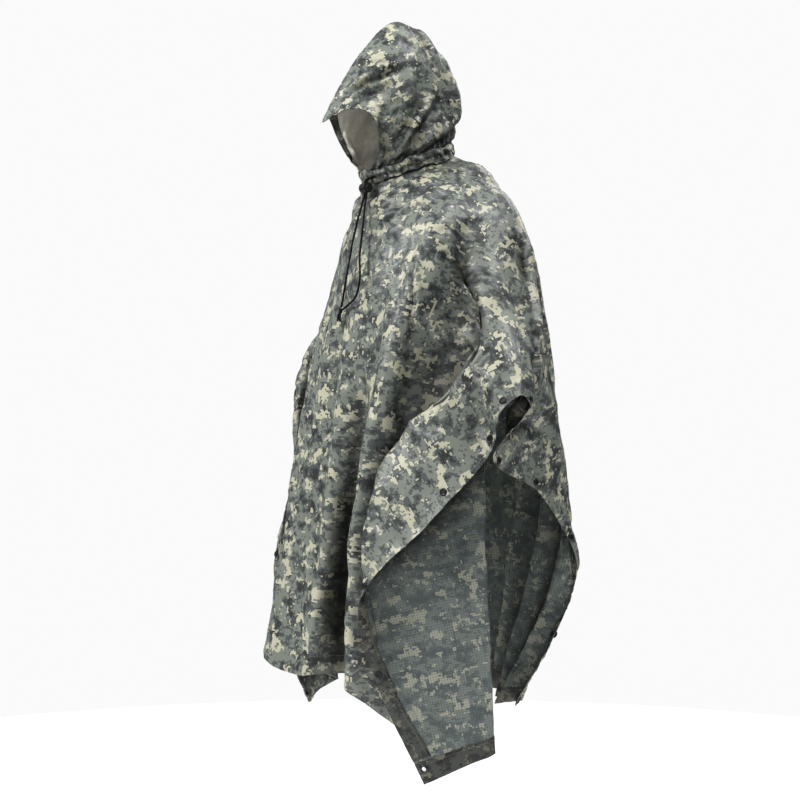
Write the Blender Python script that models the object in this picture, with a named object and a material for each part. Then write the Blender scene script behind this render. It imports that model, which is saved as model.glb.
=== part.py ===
"""Rain poncho as it is worn: a hooded cape of two panels, open at the sides and snapped at the cuffs.

Metres, +Z up. The wearer faces -Y and the wearer's left is +X. The origin lies on
the shoulder line, midway between the shoulders, where the wearer carries the cape.

Flat cloth is measured `across` (0 on the centre line, positive to the wearer's left)
and down from the shoulder seam. Each panel is a smooth sheet through a short table of
fold lines, one row a fold. What is sewn to a panel is made from the panel's own grid
of points, moved out or in by its thickness.
"""

import math
from collections import namedtuple

import bmesh
import bpy
import numpy as np
from mathutils import Vector

# ---------------------------------------------------------------- sizes
HALF_WIDTH = 0.70           # flat cape, centre line to side edge
HALF_LENGTH = 1.12          # flat cape, shoulder seam to hem
CLOTH = 0.0016              # wall of the coated cloth
GAP = 0.0003                # between pieces that touch
NECK_HALF_WIDTH = 0.090     # of the neck hole, flat
FACING_WIDTH = 0.042        # turned-in strips along the side edges and hems
FACING_CLOTH = 0.0011
FACING_END = 0.02           # an edge strip ends this share of a grid row above the hem strip

SNAP_RADIUS = 0.0075
SNAP_HEIGHT = 0.0030
SNAP_SIDES = 8
CAP_TOP = 0.78              # a cap's flat top, in shares of its radius,
CAP_RIM = 0.60              # and its upright rim, in shares of its height
GROMMET_RADIUS = 0.0085
GROMMET_HOLE = 0.0045
GROMMET_HEIGHT = 0.0020

NECK_CENTRE = np.array((0.0, 0.022, 0.045))     # the neck seam is an ellipse ...
NECK_RADIUS_X = 0.085
NECK_RADIUS_Y = 0.103
NECK_TILT = math.radians(20.5)                  # ... that tips forward
CASING_HEIGHT = 0.0240      # drawcord tunnel round the neck
CASING_DEPTH = 0.0070
CASING_GATHERS = 20
CASING_PUFF = 0.0006        # between gathers

CORD_RADIUS = 0.0019
LOCK_CENTRE = (0.026, -0.0985, -0.004)
LOCK_RADIUS = 0.0105
LOCK_LENGTH = 0.0240
LOCK_HOLE = (0.0142, 0.0052)
PLUNGER_RADIUS = 0.0078
PLUNGER_LENGTH = 0.0070
KNOT_CENTRE = (0.0470, -0.1690, -0.2640)
KNOT_RADIUS = 0.0062
LOOP_RADIUS = 0.0095        # hanging loop at the nape
LOOP_WIDTH = 0.0090
LOOP_CLOTH = 0.0016

# Shoulder seam: across, then the place it takes on the shoulder and along the arm.
SeamPoint = namedtuple("SeamPoint", "across x y z")
SHOULDER_SEAM = (
    SeamPoint(0.09, 0.085, 0.022, 0.045),
    SeamPoint(0.15, 0.143, 0.020, 0.020),
    SeamPoint(0.22, 0.206, 0.022, -0.026),
    SeamPoint(0.35, 0.282, 0.045, -0.135),
    SeamPoint(0.50, 0.362, 0.058, -0.265),
    SeamPoint(0.60, 0.425, 0.030, -0.345),
    SeamPoint(0.70, 0.482, -0.008, -0.430),
)
RIGHT_CUFF_LIFT = 0.022     # the right arm is held this much higher at its cuff

# Fold lines of one half panel, from the centre line to the side edge. Each row: the
# fold's place across the flat cloth at the seam and at the hem, how far it rolls over
# the shoulder, and its place at five levels on the way down.
Fold = namedtuple("Fold", "name at_seam at_hem roll chest waist thigh knee hem")
LEVELS = (0.0, 0.06, 0.15, 0.35, 0.60, 0.80, 1.0)   # shares of the way down, seam to hem
ROLL_REACH = 0.42           # where a fold rolls over: its share of the way to the chest,
ROLL_SIDEWAYS = 0.45        # and how it swells there, in shares of its roll
ROLL_OUT = 0.80
ROLL_UP = 0.40

FRONT_LEFT = (
    Fold("centre", 0.00, 0.00, 0.001,
         (0.000, -0.118, -0.100), (0.000, -0.160, -0.320), (0.000, -0.190, -0.600),
         (0.000, -0.215, -0.820), (0.000, -0.238, -1.020)),
    Fold("chest", 0.09, 0.09, 0.020,
         (0.108, -0.106, -0.078), (0.090, -0.158, -0.310), (0.075, -0.197, -0.590),
         (0.060, -0.224, -0.812), (0.040, -0.245, -1.014)),
    Fold("valley", 0.17, 0.17, 0.024,
         (0.160, -0.100, -0.120), (0.158, -0.156, -0.330), (0.130, -0.176, -0.600),
         (0.098, -0.166, -0.815), (0.062, -0.162, -1.015)),
    Fold("crest", 0.25, 0.25, 0.030,
         (0.228, -0.098, -0.185), (0.230, -0.165, -0.385), (0.205, -0.208, -0.660),
         (0.172, -0.208, -0.860), (0.150, -0.205, -1.035)),
    Fold("underlay", 0.33, 0.38, 0.030,
         (0.270, -0.072, -0.250), (0.268, -0.086, -0.450), (0.288, -0.118, -0.720),
         (0.280, -0.115, -0.918), (0.262, -0.108, -1.120)),
    Fold("turn", 0.40, 0.55, 0.030,
         (0.325, -0.045, -0.330), (0.365, -0.030, -0.500), (0.390, -0.030, -0.770),
         (0.393, -0.022, -0.955), (0.396, -0.016, -1.137)),
    Fold("return", 0.47, 0.60, 0.030,
         (0.345, -0.065, -0.385), (0.303, -0.112, -0.548), (0.335, -0.120, -0.790),
         (0.345, -0.085, -0.975), (0.368, -0.054, -1.160)),
    Fold("flap", 0.55, 0.65, 0.030,
         (0.352, -0.085, -0.430), (0.250, -0.186, -0.572), (0.262, -0.225, -0.780),
         (0.290, -0.165, -0.990), (0.337, -0.090, -1.183)),
    Fold("edge", 0.70, 0.70, 0.020,
         (0.432, -0.052, -0.553), (0.372, -0.154, -0.686), (0.280, -0.254, -0.835),
         (0.257, -0.203, -1.000), (0.305, -0.122, -1.205)),
)

# The front's right half falls in a cascade of its own, further back and less deep.
FRONT_RIGHT = (
    FRONT_LEFT[0],
    Fold("chest", 0.09, 0.09, 0.012,
         (-0.104, -0.064, -0.080), (-0.090, -0.138, -0.310), (-0.085, -0.190, -0.600),
         (-0.085, -0.222, -0.815), (-0.080, -0.248, -1.017)),
    Fold("front", 0.17, 0.17, 0.012,
         (-0.150, -0.038, -0.110), (-0.160, -0.112, -0.330), (-0.160, -0.177, -0.610),
         (-0.165, -0.213, -0.815), (-0.170, -0.238, -0.999)),
    Fold("crest", 0.25, 0.25, 0.014,
         (-0.215, -0.036, -0.160), (-0.235, -0.088, -0.385), (-0.225, -0.135, -0.665),
         (-0.225, -0.165, -0.860), (-0.222, -0.190, -1.022)),
    Fold("underlay", 0.33, 0.38, 0.018,
         (-0.275, -0.025, -0.240), (-0.289, -0.030, -0.460), (-0.285, -0.060, -0.730),
         (-0.268, -0.085, -0.920), (-0.272, -0.092, -1.052)),
    Fold("turn", 0.40, 0.55, 0.022,
         (-0.330, -0.015, -0.315), (-0.363, 0.016, -0.500), (-0.388, 0.034, -0.760),
         (-0.392, 0.042, -0.940), (-0.388, 0.054, -1.100)),
    Fold("return", 0.47, 0.60, 0.024,
         (-0.350, -0.035, -0.365), (-0.326, -0.044, -0.545), (-0.352, -0.052, -0.775),
         (-0.372, -0.030, -0.950), (-0.384, 0.008, -1.118)),
    Fold("flap", 0.55, 0.65, 0.024,
         (-0.365, -0.058, -0.405), (-0.286, -0.104, -0.572), (-0.280, -0.142, -0.765),
         (-0.330, -0.096, -0.965), (-0.364, -0.022, -1.135)),
    Fold("edge", 0.70, 0.70, 0.008,
         (-0.425, -0.024, -0.525), (-0.370, -0.074, -0.662), (-0.306, -0.146, -0.818),
         (-0.304, -0.128, -0.975), (-0.344, -0.044, -1.140)),
)

BACK_LEFT = (
    Fold("centre", 0.00, 0.00, 0.020,
         (0.000, 0.190, -0.020), (0.000, 0.206, -0.250), (0.000, 0.208, -0.530),
         (0.000, 0.212, -0.790), (0.000, 0.215, -1.060)),
    Fold("blade", 0.09, 0.09, 0.046,
         (0.100, 0.200, -0.030), (0.105, 0.218, -0.250), (0.095, 0.232, -0.530),
         (0.080, 0.245, -0.790), (0.058, 0.255, -1.060)),
    Fold("hollow", 0.17, 0.18, 0.048,
         (0.178, 0.187, -0.062), (0.172, 0.214, -0.275), (0.145, 0.208, -0.545),
         (0.118, 0.200, -0.800), (0.088, 0.182, -1.065)),
    Fold("ridge", 0.25, 0.27, 0.046,
         (0.238, 0.176, -0.130), (0.225, 0.226, -0.330), (0.200, 0.238, -0.595),
         (0.178, 0.228, -0.830), (0.148, 0.208, -1.070)),
    Fold("dip", 0.33, 0.36, 0.044,
         (0.290, 0.156, -0.205), (0.262, 0.208, -0.400), (0.232, 0.208, -0.650),
         (0.200, 0.186, -0.860), (0.152, 0.145, -1.072)),
    Fold("swell", 0.40, 0.45, 0.036,
         (0.325, 0.142, -0.275), (0.290, 0.206, -0.465), (0.278, 0.242, -0.700),
         (0.250, 0.222, -0.880), (0.205, 0.172, -1.075)),
    Fold("pleat", 0.47, 0.55, 0.032,
         (0.360, 0.118, -0.335), (0.314, 0.195, -0.520), (0.292, 0.215, -0.735),
         (0.258, 0.180, -0.900), (0.192, 0.116, -1.080)),
    Fold("tuck", 0.55, 0.65, 0.028,
         (0.398, 0.095, -0.395), (0.336, 0.182, -0.575), (0.308, 0.235, -0.765),
         (0.286, 0.204, -0.925), (0.222, 0.150, -1.072)),
    Fold("edge", 0.70, 0.70, 0.055,
         (0.438, -0.044, -0.557), (0.352, 0.120, -0.640), (0.314, 0.234, -0.800),
         (0.298, 0.184, -0.945), (0.250, 0.130, -1.078)),
)
# The back's right half mirrors its left, swung forward and lifted, level by level.
BACK_RIGHT_SWING = (0.010, -0.008, -0.016, -0.022, -0.030)
BACK_RIGHT_LIFT = (0.024, 0.014, 0.018, 0.024, 0.030)

NECK_CUTS = (0.0, 0.25, 0.50, 0.75)     # grid columns beside the centre, round the neck,
SOFT_CUTS = (0.0, 0.50)                 # in the next span, between soft folds,
SHARP_CUTS = (0.0, 0.14, 0.50, 0.86)    # and between sharp ones
CUTS_DOWN = (2, 2, 4, 3, 3)             # grid rows between levels, above the last one

# Hood: arches from the face opening to the nape. Each row: where its foot stands on the
# neck ring (0 throat, 180 nape), the two pull points of its curve, and its seam top.
Arch = namedtuple("Arch", "name ring side crown seam")
HOOD_ARCHES = (
    Arch("brim", 4.0, (0.144, -0.096, 0.095), (0.096, -0.114, 0.204), (-0.186, 0.130)),
    Arch("brow", 26.0, (0.132, -0.066, 0.102), (0.060, -0.101, 0.250), (-0.146, 0.206)),
    Arch("front", 52.0, (0.126, -0.033, 0.130), (0.058, -0.058, 0.304), (-0.093, 0.285)),
    Arch("crown", 86.0, (0.120, 0.018, 0.150), (0.060, 0.008, 0.362), (-0.010, 0.356)),
    Arch("rear", 120.0, (0.106, 0.070, 0.160), (0.061, 0.066, 0.316), (0.080, 0.302)),
    Arch("nape", 146.0, (0.086, 0.112, 0.140), (0.052, 0.124, 0.205), (0.124, 0.190)),
)
HOOD_END = (157.0, 166.0, 174.0, 180.0)     # the last arch lies along the neck ring
HOOD_ROUND = 14
HOOD_UP = 9

# Grid rows with a snap on the side edges, front and back.
SNAP_ROWS = {"front": (1, 3, 6, 10, 13), "back": (1, 4, 7, 9, 13)}
SOCKET_SIDES = {("front", "left"), ("back", "left")}    # edges whose inner sides show

# Routes of the two cord ends, from the casing through the lock to the knot.
CORD_ROUTES = {
    "cord_near": ((0.0215, -0.0801, 0.0196), (0.0215, -0.0900, 0.0164), (0.0215, -0.0962, 0.0122),
                  (0.0215, -0.0985, 0.0070), (0.0215, -0.0985, -0.0040), (0.0215, -0.0985, -0.0190),
                  (0.0290, -0.1080, -0.0370), (0.0500, -0.1290, -0.0700), (0.0565, -0.1450, -0.1180),
                  (0.0573, -0.1540, -0.1600), (0.0560, -0.1630, -0.2100), (0.0520, -0.1680, -0.2480),
                  (0.0489, -0.1690, -0.2574)),
    "cord_far": ((0.0302, -0.0776, 0.0207), (0.0302, -0.0890, 0.0168), (0.0302, -0.0960, 0.0124),
                 (0.0302, -0.0985, 0.0070), (0.0302, -0.0985, -0.0040), (0.0302, -0.0985, -0.0190),
                 (0.0420, -0.1085, -0.0390), (0.0720, -0.1280, -0.0700), (0.0860, -0.1410, -0.1150),
                 (0.0960, -0.1510, -0.1550), (0.1120, -0.1600, -0.2045), (0.1060, -0.1660, -0.2380),
                 (0.0830, -0.1690, -0.2520), (0.0600, -0.1695, -0.2610), (0.0537, -0.1693, -0.2627)),
    "cord_tail_near": ((0.0427, -0.1700, -0.2697), (0.0400, -0.1710, -0.2760), (0.0392, -0.1720, -0.2860)),
    "cord_tail_far": ((0.0477, -0.1702, -0.2708), (0.0490, -0.1720, -0.2780), (0.0515, -0.1725, -0.2870)),
}
CORD_STEP = 0.0100          # between points of a cord


# ---------------------------------------------------------------- curves and sheets
def smooth_curve(points, places):
    """Centripetal Catmull-Rom curve through points, read at places counted in points."""
    points = np.asarray(points, float)
    chords = np.linalg.norm(np.diff(points, axis=0), axis=1)
    steps = np.sqrt(np.maximum(chords, 1e-6))[:, None]
    slopes = np.diff(points, axis=0) / steps
    tangents = np.empty_like(points)
    tangents[0] = slopes[0]
    tangents[-1] = slopes[-1]
    spans = (points[2:] - points[:-2]) / (steps[1:] + steps[:-1])
    tangents[1:-1] = slopes[1:] - spans + slopes[:-1]
    places = np.clip(np.asarray(places, float), 0.0, len(points) - 1.0)
    first = np.minimum(places.astype(int), len(points) - 2)
    part = (places - first)[:, None]
    leave = tangents[first] * steps[first]
    arrive = tangents[first + 1] * steps[first]
    return (
        (2 * part**3 - 3 * part**2 + 1) * points[first]
        + (part**3 - 2 * part**2 + part) * leave
        + (3 * part**2 - 2 * part**3) * points[first + 1]
        + (part**3 - part**2) * arrive
    )


def unit(vectors):
    return vectors / np.linalg.norm(vectors, axis=-1, keepdims=True)


def neck_ring(degrees, height=0.0, grow=0.0):
    """Points on the neck seam: 0 at the throat, 90 at the wearer's left, 180 at the nape."""
    angle = np.radians(np.asarray(degrees, float))[..., None]
    back = np.array((0.0, math.cos(NECK_TILT), math.sin(NECK_TILT)))
    up = np.array((0.0, -math.sin(NECK_TILT), math.cos(NECK_TILT)))
    side = np.array((1.0, 0.0, 0.0))
    across = (NECK_RADIUS_X + grow) * np.sin(angle) * side
    along = -(NECK_RADIUS_Y + grow) * np.cos(angle) * back
    return NECK_CENTRE + across + along + height * up


def seam_point(across, side):
    """Place of the shoulder seam, for the wearer's left (+1) or right (-1)."""
    knots = [point.across for point in SHOULDER_SEAM]
    places = np.interp([across], knots, range(len(knots)))
    point = smooth_curve([point[1:] for point in SHOULDER_SEAM], places)[0]
    if side < 0:
        point = point * (-1.0, 1.0, 1.0)
        out = (across - NECK_HALF_WIDTH) / (HALF_WIDTH - NECK_HALF_WIDTH)
        point[2] += RIGHT_CUFF_LIFT * out**2
    return point


def top_point(across, front, side):
    """Upper end of a fold: on the neck ring near the centre, else on the shoulder seam."""
    if across >= NECK_HALF_WIDTH:
        return seam_point(across, side)
    angle = side * 90.0 * across / NECK_HALF_WIDTH
    return neck_ring(angle if front else 180.0 - angle)


def fold_line(fold, front, side, levels):
    """The fold's seven points from the seam to the hem."""
    top = top_point(fold.at_seam, front, side)
    beside = min(1.0, fold.at_seam / NECK_HALF_WIDTH) * (1.0 - (fold.at_seam / HALF_WIDTH) ** 3)
    outward = np.array((side * ROLL_SIDEWAYS * beside, -ROLL_OUT if front else ROLL_OUT, ROLL_UP))
    rolled = top + ROLL_REACH * (levels[0] - top) + fold.roll * outward
    return np.array((top, rolled, *levels))


def left_lines(folds, front):
    return [fold_line(fold, front, 1.0, np.array(fold[4:])) for fold in folds]


def back_right_lines():
    """The back's right half: its left half mirrored, swung and lifted."""
    lines = []
    for fold in BACK_LEFT[1:]:
        levels = np.array(fold[4:]) * (-1.0, 1.0, 1.0)
        levels[:, 1] += BACK_RIGHT_SWING
        levels[:, 2] += BACK_RIGHT_LIFT
        lines.append(fold_line(fold, False, -1.0, levels))
    return lines


class Sheet:
    """One panel: a smooth sheet through its fold lines, the wearer's right edge first."""

    def __init__(self, folds, right_lines, front):
        self.front = front
        self.lines = np.array(right_lines[::-1] + left_lines(folds, front))
        seam = np.array([fold.at_seam for fold in folds])
        hem = np.array([fold.at_hem for fold in folds])
        self.at_seam = np.concatenate((-seam[:0:-1], seam))
        self.at_hem = np.concatenate((-hem[:0:-1], hem))

    def rows(self):
        """Shares of the way down at which the grid has its rows."""
        hem_strip = 1.0 - FACING_WIDTH / HALF_LENGTH
        shares = [0.0]
        for low, high, cuts in zip(LEVELS, LEVELS[1:], CUTS_DOWN):
            shares += [low + (high - low) * (cut + 1) / cuts for cut in range(cuts)]
        last = LEVELS[-2]
        return shares + [(last + hem_strip) / 2, hem_strip, 1.0]

    def columns(self, share):
        """Grid columns at one row, counted in folds: the outermost strips are a facing wide."""
        last = len(self.lines) - 1
        middle = last // 2
        knots = self.at_seam + share * (self.at_hem - self.at_seam)
        strip = FACING_WIDTH / (knots[-1] - knots[-2])
        places = [0.0, strip, (1.0 + strip) / 2]
        for span in range(1, last - 1):
            away = span - middle if span >= middle else middle - 1 - span
            cuts = (NECK_CUTS, SOFT_CUTS)[away] if away < 2 else SHARP_CUTS
            places += [span + cut for cut in cuts]
        return places + [last - 1.0, last - (1.0 + strip) / 2, last - strip, float(last)]

    def row_points(self, share, places):
        level = np.interp([share], LEVELS, range(len(LEVELS)))
        folds = np.array([smooth_curve(line, level)[0] for line in self.lines])
        return smooth_curve(folds, places)

    def grid(self):
        """Outer points and outward normals, columns across and rows down."""
        rows = [self.row_points(share, self.columns(share)) for share in self.rows()]
        points = np.array(rows).transpose(1, 0, 2)
        places = np.interp(self.columns(0.0), range(len(self.at_seam)), self.at_seam)
        tops = [top_point(abs(place), self.front, math.copysign(1.0, place)) for place in places]
        shift = np.array(tops) - points[:, 0]
        for row, share in enumerate(self.rows()):
            points[:, row] += shift * max(0.0, 1.0 - share / LEVELS[2])
        normals = sheet_normals(points) * (-1.0 if self.front else 1.0)
        self.part_at_seam(points, normals, places)
        return points, normals

    def part_at_seam(self, points, normals, places):
        """Front and back meet edge to edge on the shoulder seam, half a gap each."""
        on_seam = np.abs(places) >= NECK_HALF_WIDTH - 1e-6
        along = unit(np.gradient(points[:, 0], axis=0))
        upright = np.cross(along, (0.0, 1.0, 0.0))
        upright *= np.sign(upright[:, 2:3])
        normals[on_seam, 0] = unit(upright)[on_seam]
        points[on_seam, 0, 1] += (-GAP if self.front else GAP) / 2


def sheet_normals(points):
    """Normals at the points of a grid: each corner's, weighed by its angle."""
    first, second = slice(None, -1), slice(1, None)
    total = np.zeros_like(points)
    for i, k, turn_i in ((first, second, 1.0), (second, first, -1.0)):
        for j, m, turn_j in ((first, second, 1.0), (second, first, -1.0)):
            across = unit(points[k, j] - points[i, j])
            down = unit(points[i, m] - points[i, j])
            angle = np.arccos(np.clip((across * down).sum(axis=2, keepdims=True), -0.999, 0.999))
            total[i, j] += unit(np.cross(across, down)) * angle * turn_i * turn_j
    return unit(total)


def short_diagonals(points):
    """For each cell of a grid, whether its first diagonal is the shorter one."""
    first = np.linalg.norm(points[1:, 1:] - points[:-1, :-1], axis=2)
    second = np.linalg.norm(points[1:, :-1] - points[:-1, 1:], axis=2)
    return first <= second


# ---------------------------------------------------------------- meshes
def material(name, colour, roughness, metallic=0.0):
    made = bpy.data.materials.new(name)
    made.use_nodes = True
    shader = made.node_tree.nodes["Principled BSDF"]
    shader.inputs["Base Color"].default_value = (*colour, 1.0)
    shader.inputs["Roughness"].default_value = roughness
    shader.inputs["Metallic"].default_value = metallic
    return made


def add_object(name, mesh, look):
    mesh.materials.append(look)
    mesh.shade_smooth()
    mesh.set_sharp_from_angle(angle=math.radians(40.0))
    made = bpy.data.objects.new(name, mesh)
    bpy.context.scene.collection.objects.link(made)
    return made


def mesh_from(name, vertices, faces):
    """A closed mesh with its faces turned outwards."""
    mesh = bpy.data.meshes.new(name)
    mesh.from_pydata([tuple(vertex) for vertex in vertices], [], faces)
    edit = bmesh.new()
    edit.from_mesh(mesh)
    bmesh.ops.recalc_face_normals(edit, faces=edit.faces)
    if edit.calc_volume(signed=True) < 0.0:
        bmesh.ops.reverse_faces(edit, faces=edit.faces)
    edit.to_mesh(mesh)
    edit.free()
    return mesh


def split_cell(first, corners):
    """A cell's two triangles, cut along its first or its second diagonal."""
    a, b, c, d = corners
    return ((a, b, c), (a, c, d)) if first else ((a, b, d), (b, c, d))


def add_shell(name, outer, inner, diagonals, look):
    """A closed wall between two grids of the same shape, cut into like triangles."""
    wide, tall = outer.shape[:2]

    def index(i, j, side):
        return side * wide * tall + i * tall + j

    faces = []
    for i in range(wide - 1):
        for j in range(tall - 1):
            for side in (0, 1):
                corners = (index(i, j, side), index(i + 1, j, side),
                           index(i + 1, j + 1, side), index(i, j + 1, side))
                faces += split_cell(diagonals[i, j], corners)
    rim = [(i, 0) for i in range(wide)]
    rim += [(wide - 1, j) for j in range(1, tall)]
    rim += [(i, tall - 1) for i in range(wide - 2, -1, -1)]
    rim += [(0, j) for j in range(tall - 2, 0, -1)]
    for (i, j), (k, m) in zip(rim, rim[1:] + rim[:1]):
        faces.append((index(i, j, 0), index(k, m, 0), index(k, m, 1), index(i, j, 1)))
    vertices = np.concatenate((outer.reshape(-1, 3), inner.reshape(-1, 3)))
    return add_object(name, mesh_from(name, vertices, faces), look)


def add_disc(name, centre, normal, radius, height, look, hole=0.0, sides=SNAP_SIDES):
    """A low round cap with a bevelled top, or a ring where it has a hole."""
    turn = Vector(normal).to_track_quat("Z", "Y")
    profile = [(radius, 0.0), (radius, CAP_RIM * height), (CAP_TOP * radius, height)]
    if hole:
        profile += [(hole, height), (hole, 0.0)]
    rings = []
    for k in range(sides):
        angle = 2 * math.pi * k / sides
        rings.append([Vector((r * math.cos(angle), r * math.sin(angle), z)) for r, z in profile])
    vertices = [Vector(centre) + turn @ point for ring in rings for point in ring]
    count = len(profile)
    faces = []
    for k in range(sides):
        here, there = k * count, (k + 1) % sides * count
        steps = range(count) if hole else range(count - 1)
        for m in steps:
            after = (m + 1) % count
            faces.append((here + m, there + m, there + after, here + after))
    if not hole:
        faces.append(tuple(k * count for k in range(sides)))
        faces.append(tuple(k * count + count - 1 for k in range(sides)))
    return add_object(name, mesh_from(name, vertices, faces), look)


def triangle_seat(points, diagonals, i, j, corners):
    """Incentre and normal of the triangle of cell (i, j) that holds both given corners."""
    cell = (points[i, j], points[i + 1, j], points[i + 1, j + 1], points[i, j + 1])
    triangles = split_cell(diagonals[i, j], range(4))
    held = [triangle for triangle in triangles if set(corners) <= set(triangle)]
    a, b, c = (cell[k] for k in held[0])
    sides = np.array([np.linalg.norm(c - b), np.linalg.norm(a - c), np.linalg.norm(b - a)])
    centre = (sides[0] * a + sides[1] * b + sides[2] * c) / sides.sum()
    return centre, unit(np.cross(b - a, c - a))


def cell_normal(normals, i, j):
    return normals[i:i + 2, j:j + 2].sum(axis=(0, 1))


# ---------------------------------------------------------------- cape
def add_facings(name, points, normals, diagonals, look):
    """Strips turned in along the side edges and the hem, inside the panel."""
    outer = points - (CLOTH + GAP) * normals
    inner = outer - FACING_CLOTH * normals
    for side, first in (("left", -2), ("right", 0)):
        span = slice(first, None) if first < 0 else slice(0, 2)
        cell = slice(-1, None) if first < 0 else slice(0, 1)
        strips = []
        for layer in (outer, inner):
            strip = layer[span, :-1].copy()
            strip[:, -1] += (strip[:, -2] - strip[:, -1]) * FACING_END
            strips.append(strip)
        add_shell(f"{name}_{side}_edge_facing", *strips, diagonals[cell, :-1], look)
    add_shell(f"{name}_hem_facing", outer[:, -2:], inner[:, -2:], diagonals[:, -1:], look)


def add_fasteners(name, sheet, points, normals, diagonals, looks):
    """Snaps down both side edges and a grommet at each lower corner."""
    inside = points - (CLOTH + GAP + FACING_CLOTH) * normals
    rows = len(sheet.rows())
    for side, cell in (("left", -1), ("right", 0)):
        column = len(points) - 2 if cell < 0 else 0
        edge = (1, 2) if cell < 0 else (0, 3)
        for number, row in enumerate(SNAP_ROWS[name], 1):
            seats = ((points, 1.0, "cap"), (inside, -1.0, "socket"))
            for layer, way, kind in seats:
                centre, normal = triangle_seat(layer, diagonals, column, row, edge)
                normal = normal * np.sign(normal @ cell_normal(normals, column, row)) * way
                if kind == "cap" or (name, side) in SOCKET_SIDES:
                    add_disc(f"{name}_{side}_snap_{kind}_{number}", centre + GAP * normal, normal,
                             SNAP_RADIUS, SNAP_HEIGHT, looks["snap"])
        for layer, way, face in ((points, 1.0, "outer"), (inside, -1.0, "inner")):
            centre, normal = triangle_seat(layer, diagonals, column, rows - 2, edge)
            normal = normal * np.sign(normal @ cell_normal(normals, column, rows - 2)) * way
            add_disc(f"{name}_{side}_grommet_{face}", centre + GAP * normal, normal,
                     GROMMET_RADIUS, GROMMET_HEIGHT, looks["metal"], GROMMET_HOLE)


def add_panel(name, sheet, looks):
    points, normals = sheet.grid()
    diagonals = short_diagonals(points)
    add_shell(f"{name}_panel", points, points - CLOTH * normals, diagonals, looks["cloth"])
    add_facings(name, points, normals, diagonals, looks["facing"])
    add_fasteners(name, sheet, points, normals, diagonals, looks)


# ---------------------------------------------------------------- hood and neck
def hood_grid():
    """Left half of the hood: arches from the face opening to the nape, foot to seam."""
    height = CASING_HEIGHT + 2 * GAP
    ups = np.linspace(0.0, 1.0, HOOD_UP + 1)[:, None]
    pulls = []
    for arch in HOOD_ARCHES:
        seam = (GAP / 2, *arch.seam)
        pulls.append((neck_ring(arch.ring, height), arch.side, arch.crown, seam))
    pulls.append(tuple(neck_ring(HOOD_END, height)))
    arches = []
    for foot, side, crown, seam in pulls:
        foot, side, crown, seam = (np.array(point) for point in (foot, side, crown, seam))
        arches.append((1 - ups) ** 3 * foot + 3 * ups * (1 - ups) ** 2 * side
                      + 3 * ups**2 * (1 - ups) * crown + ups**3 * seam)
    places = np.linspace(0.0, len(pulls) - 1.0, HOOD_ROUND + 1)
    rows = [smooth_curve(np.array(arches)[:, j], places) for j in range(HOOD_UP + 1)]
    return np.array(rows)


def add_hood(look):
    outer = hood_grid()
    normals = unit(np.cross(np.gradient(outer, axis=1), np.gradient(outer, axis=0)))
    up = np.array((0.0, -math.sin(NECK_TILT), math.cos(NECK_TILT)))
    for border in (np.s_[0, :], np.s_[:, -1]):
        reach = outer[border] - NECK_CENTRE
        normals[border] = unit(reach - (reach @ up)[:, None] * up)
    inner = outer - CLOTH * normals
    for layer in (outer, inner):
        layer[-1, :, 0] = GAP / 2
        layer[:, -1, 0] = np.maximum(layer[:, -1, 0], GAP / 2)
    diagonals = short_diagonals(outer)
    mirror = np.array((-1.0, 1.0, 1.0))
    add_shell("hood_left", outer, inner, diagonals, look)
    add_shell("hood_right", outer * mirror, inner * mirror, diagonals, look)


def add_casing(look):
    """The gathered drawcord tunnel, a soft ring between the panels and the hood."""
    section = [(0.0, -0.5), (0.42, -0.36), (0.5, 0.0), (0.42, 0.36),
               (0.0, 0.5), (-0.42, 0.36), (-0.5, 0.0), (-0.42, -0.36)]
    steps = 2 * CASING_GATHERS
    height = CASING_HEIGHT - GAP
    vertices = []
    for k in range(steps):
        puff = CASING_PUFF if k % 2 else -CASING_PUFF
        for out, up in section:
            grow = out * CASING_DEPTH + math.copysign(puff, out) * (abs(out) > 0.2)
            vertices.append(neck_ring(360.0 * k / steps, CASING_HEIGHT / 2 + up * height, grow))
    count = len(section)
    faces = []
    for k in range(steps):
        here, there = k * count, (k + 1) % steps * count
        for m in range(count):
            after = (m + 1) % count
            faces.append((here + m, there + m, there + after, here + after))
    add_object("neck_casing", mesh_from("neck_casing", vertices, faces), look)


def add_nape_loop(look):
    """A narrow loop that stands off the casing at the nape."""
    rows = 9
    outer, inner = [], []
    for k in range(rows):
        angle = math.radians(-90.0 + 180.0 * k / (rows - 1))
        for layer, radius in ((outer, LOOP_RADIUS), (inner, LOOP_RADIUS - LOOP_CLOTH)):
            out = CASING_DEPTH / 2 + 2.5 * GAP + 0.9 * radius * math.cos(angle)
            point = neck_ring(180.0, CASING_HEIGHT / 2 + radius * math.sin(angle), out)
            half = np.array((LOOP_WIDTH / 2, 0.0, 0.0))
            layer.append((point - half, point + half))
    outer = np.array(outer).transpose(1, 0, 2)
    inner = np.array(inner).transpose(1, 0, 2)
    add_shell("nape_loop", outer, inner, short_diagonals(outer), look)


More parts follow.
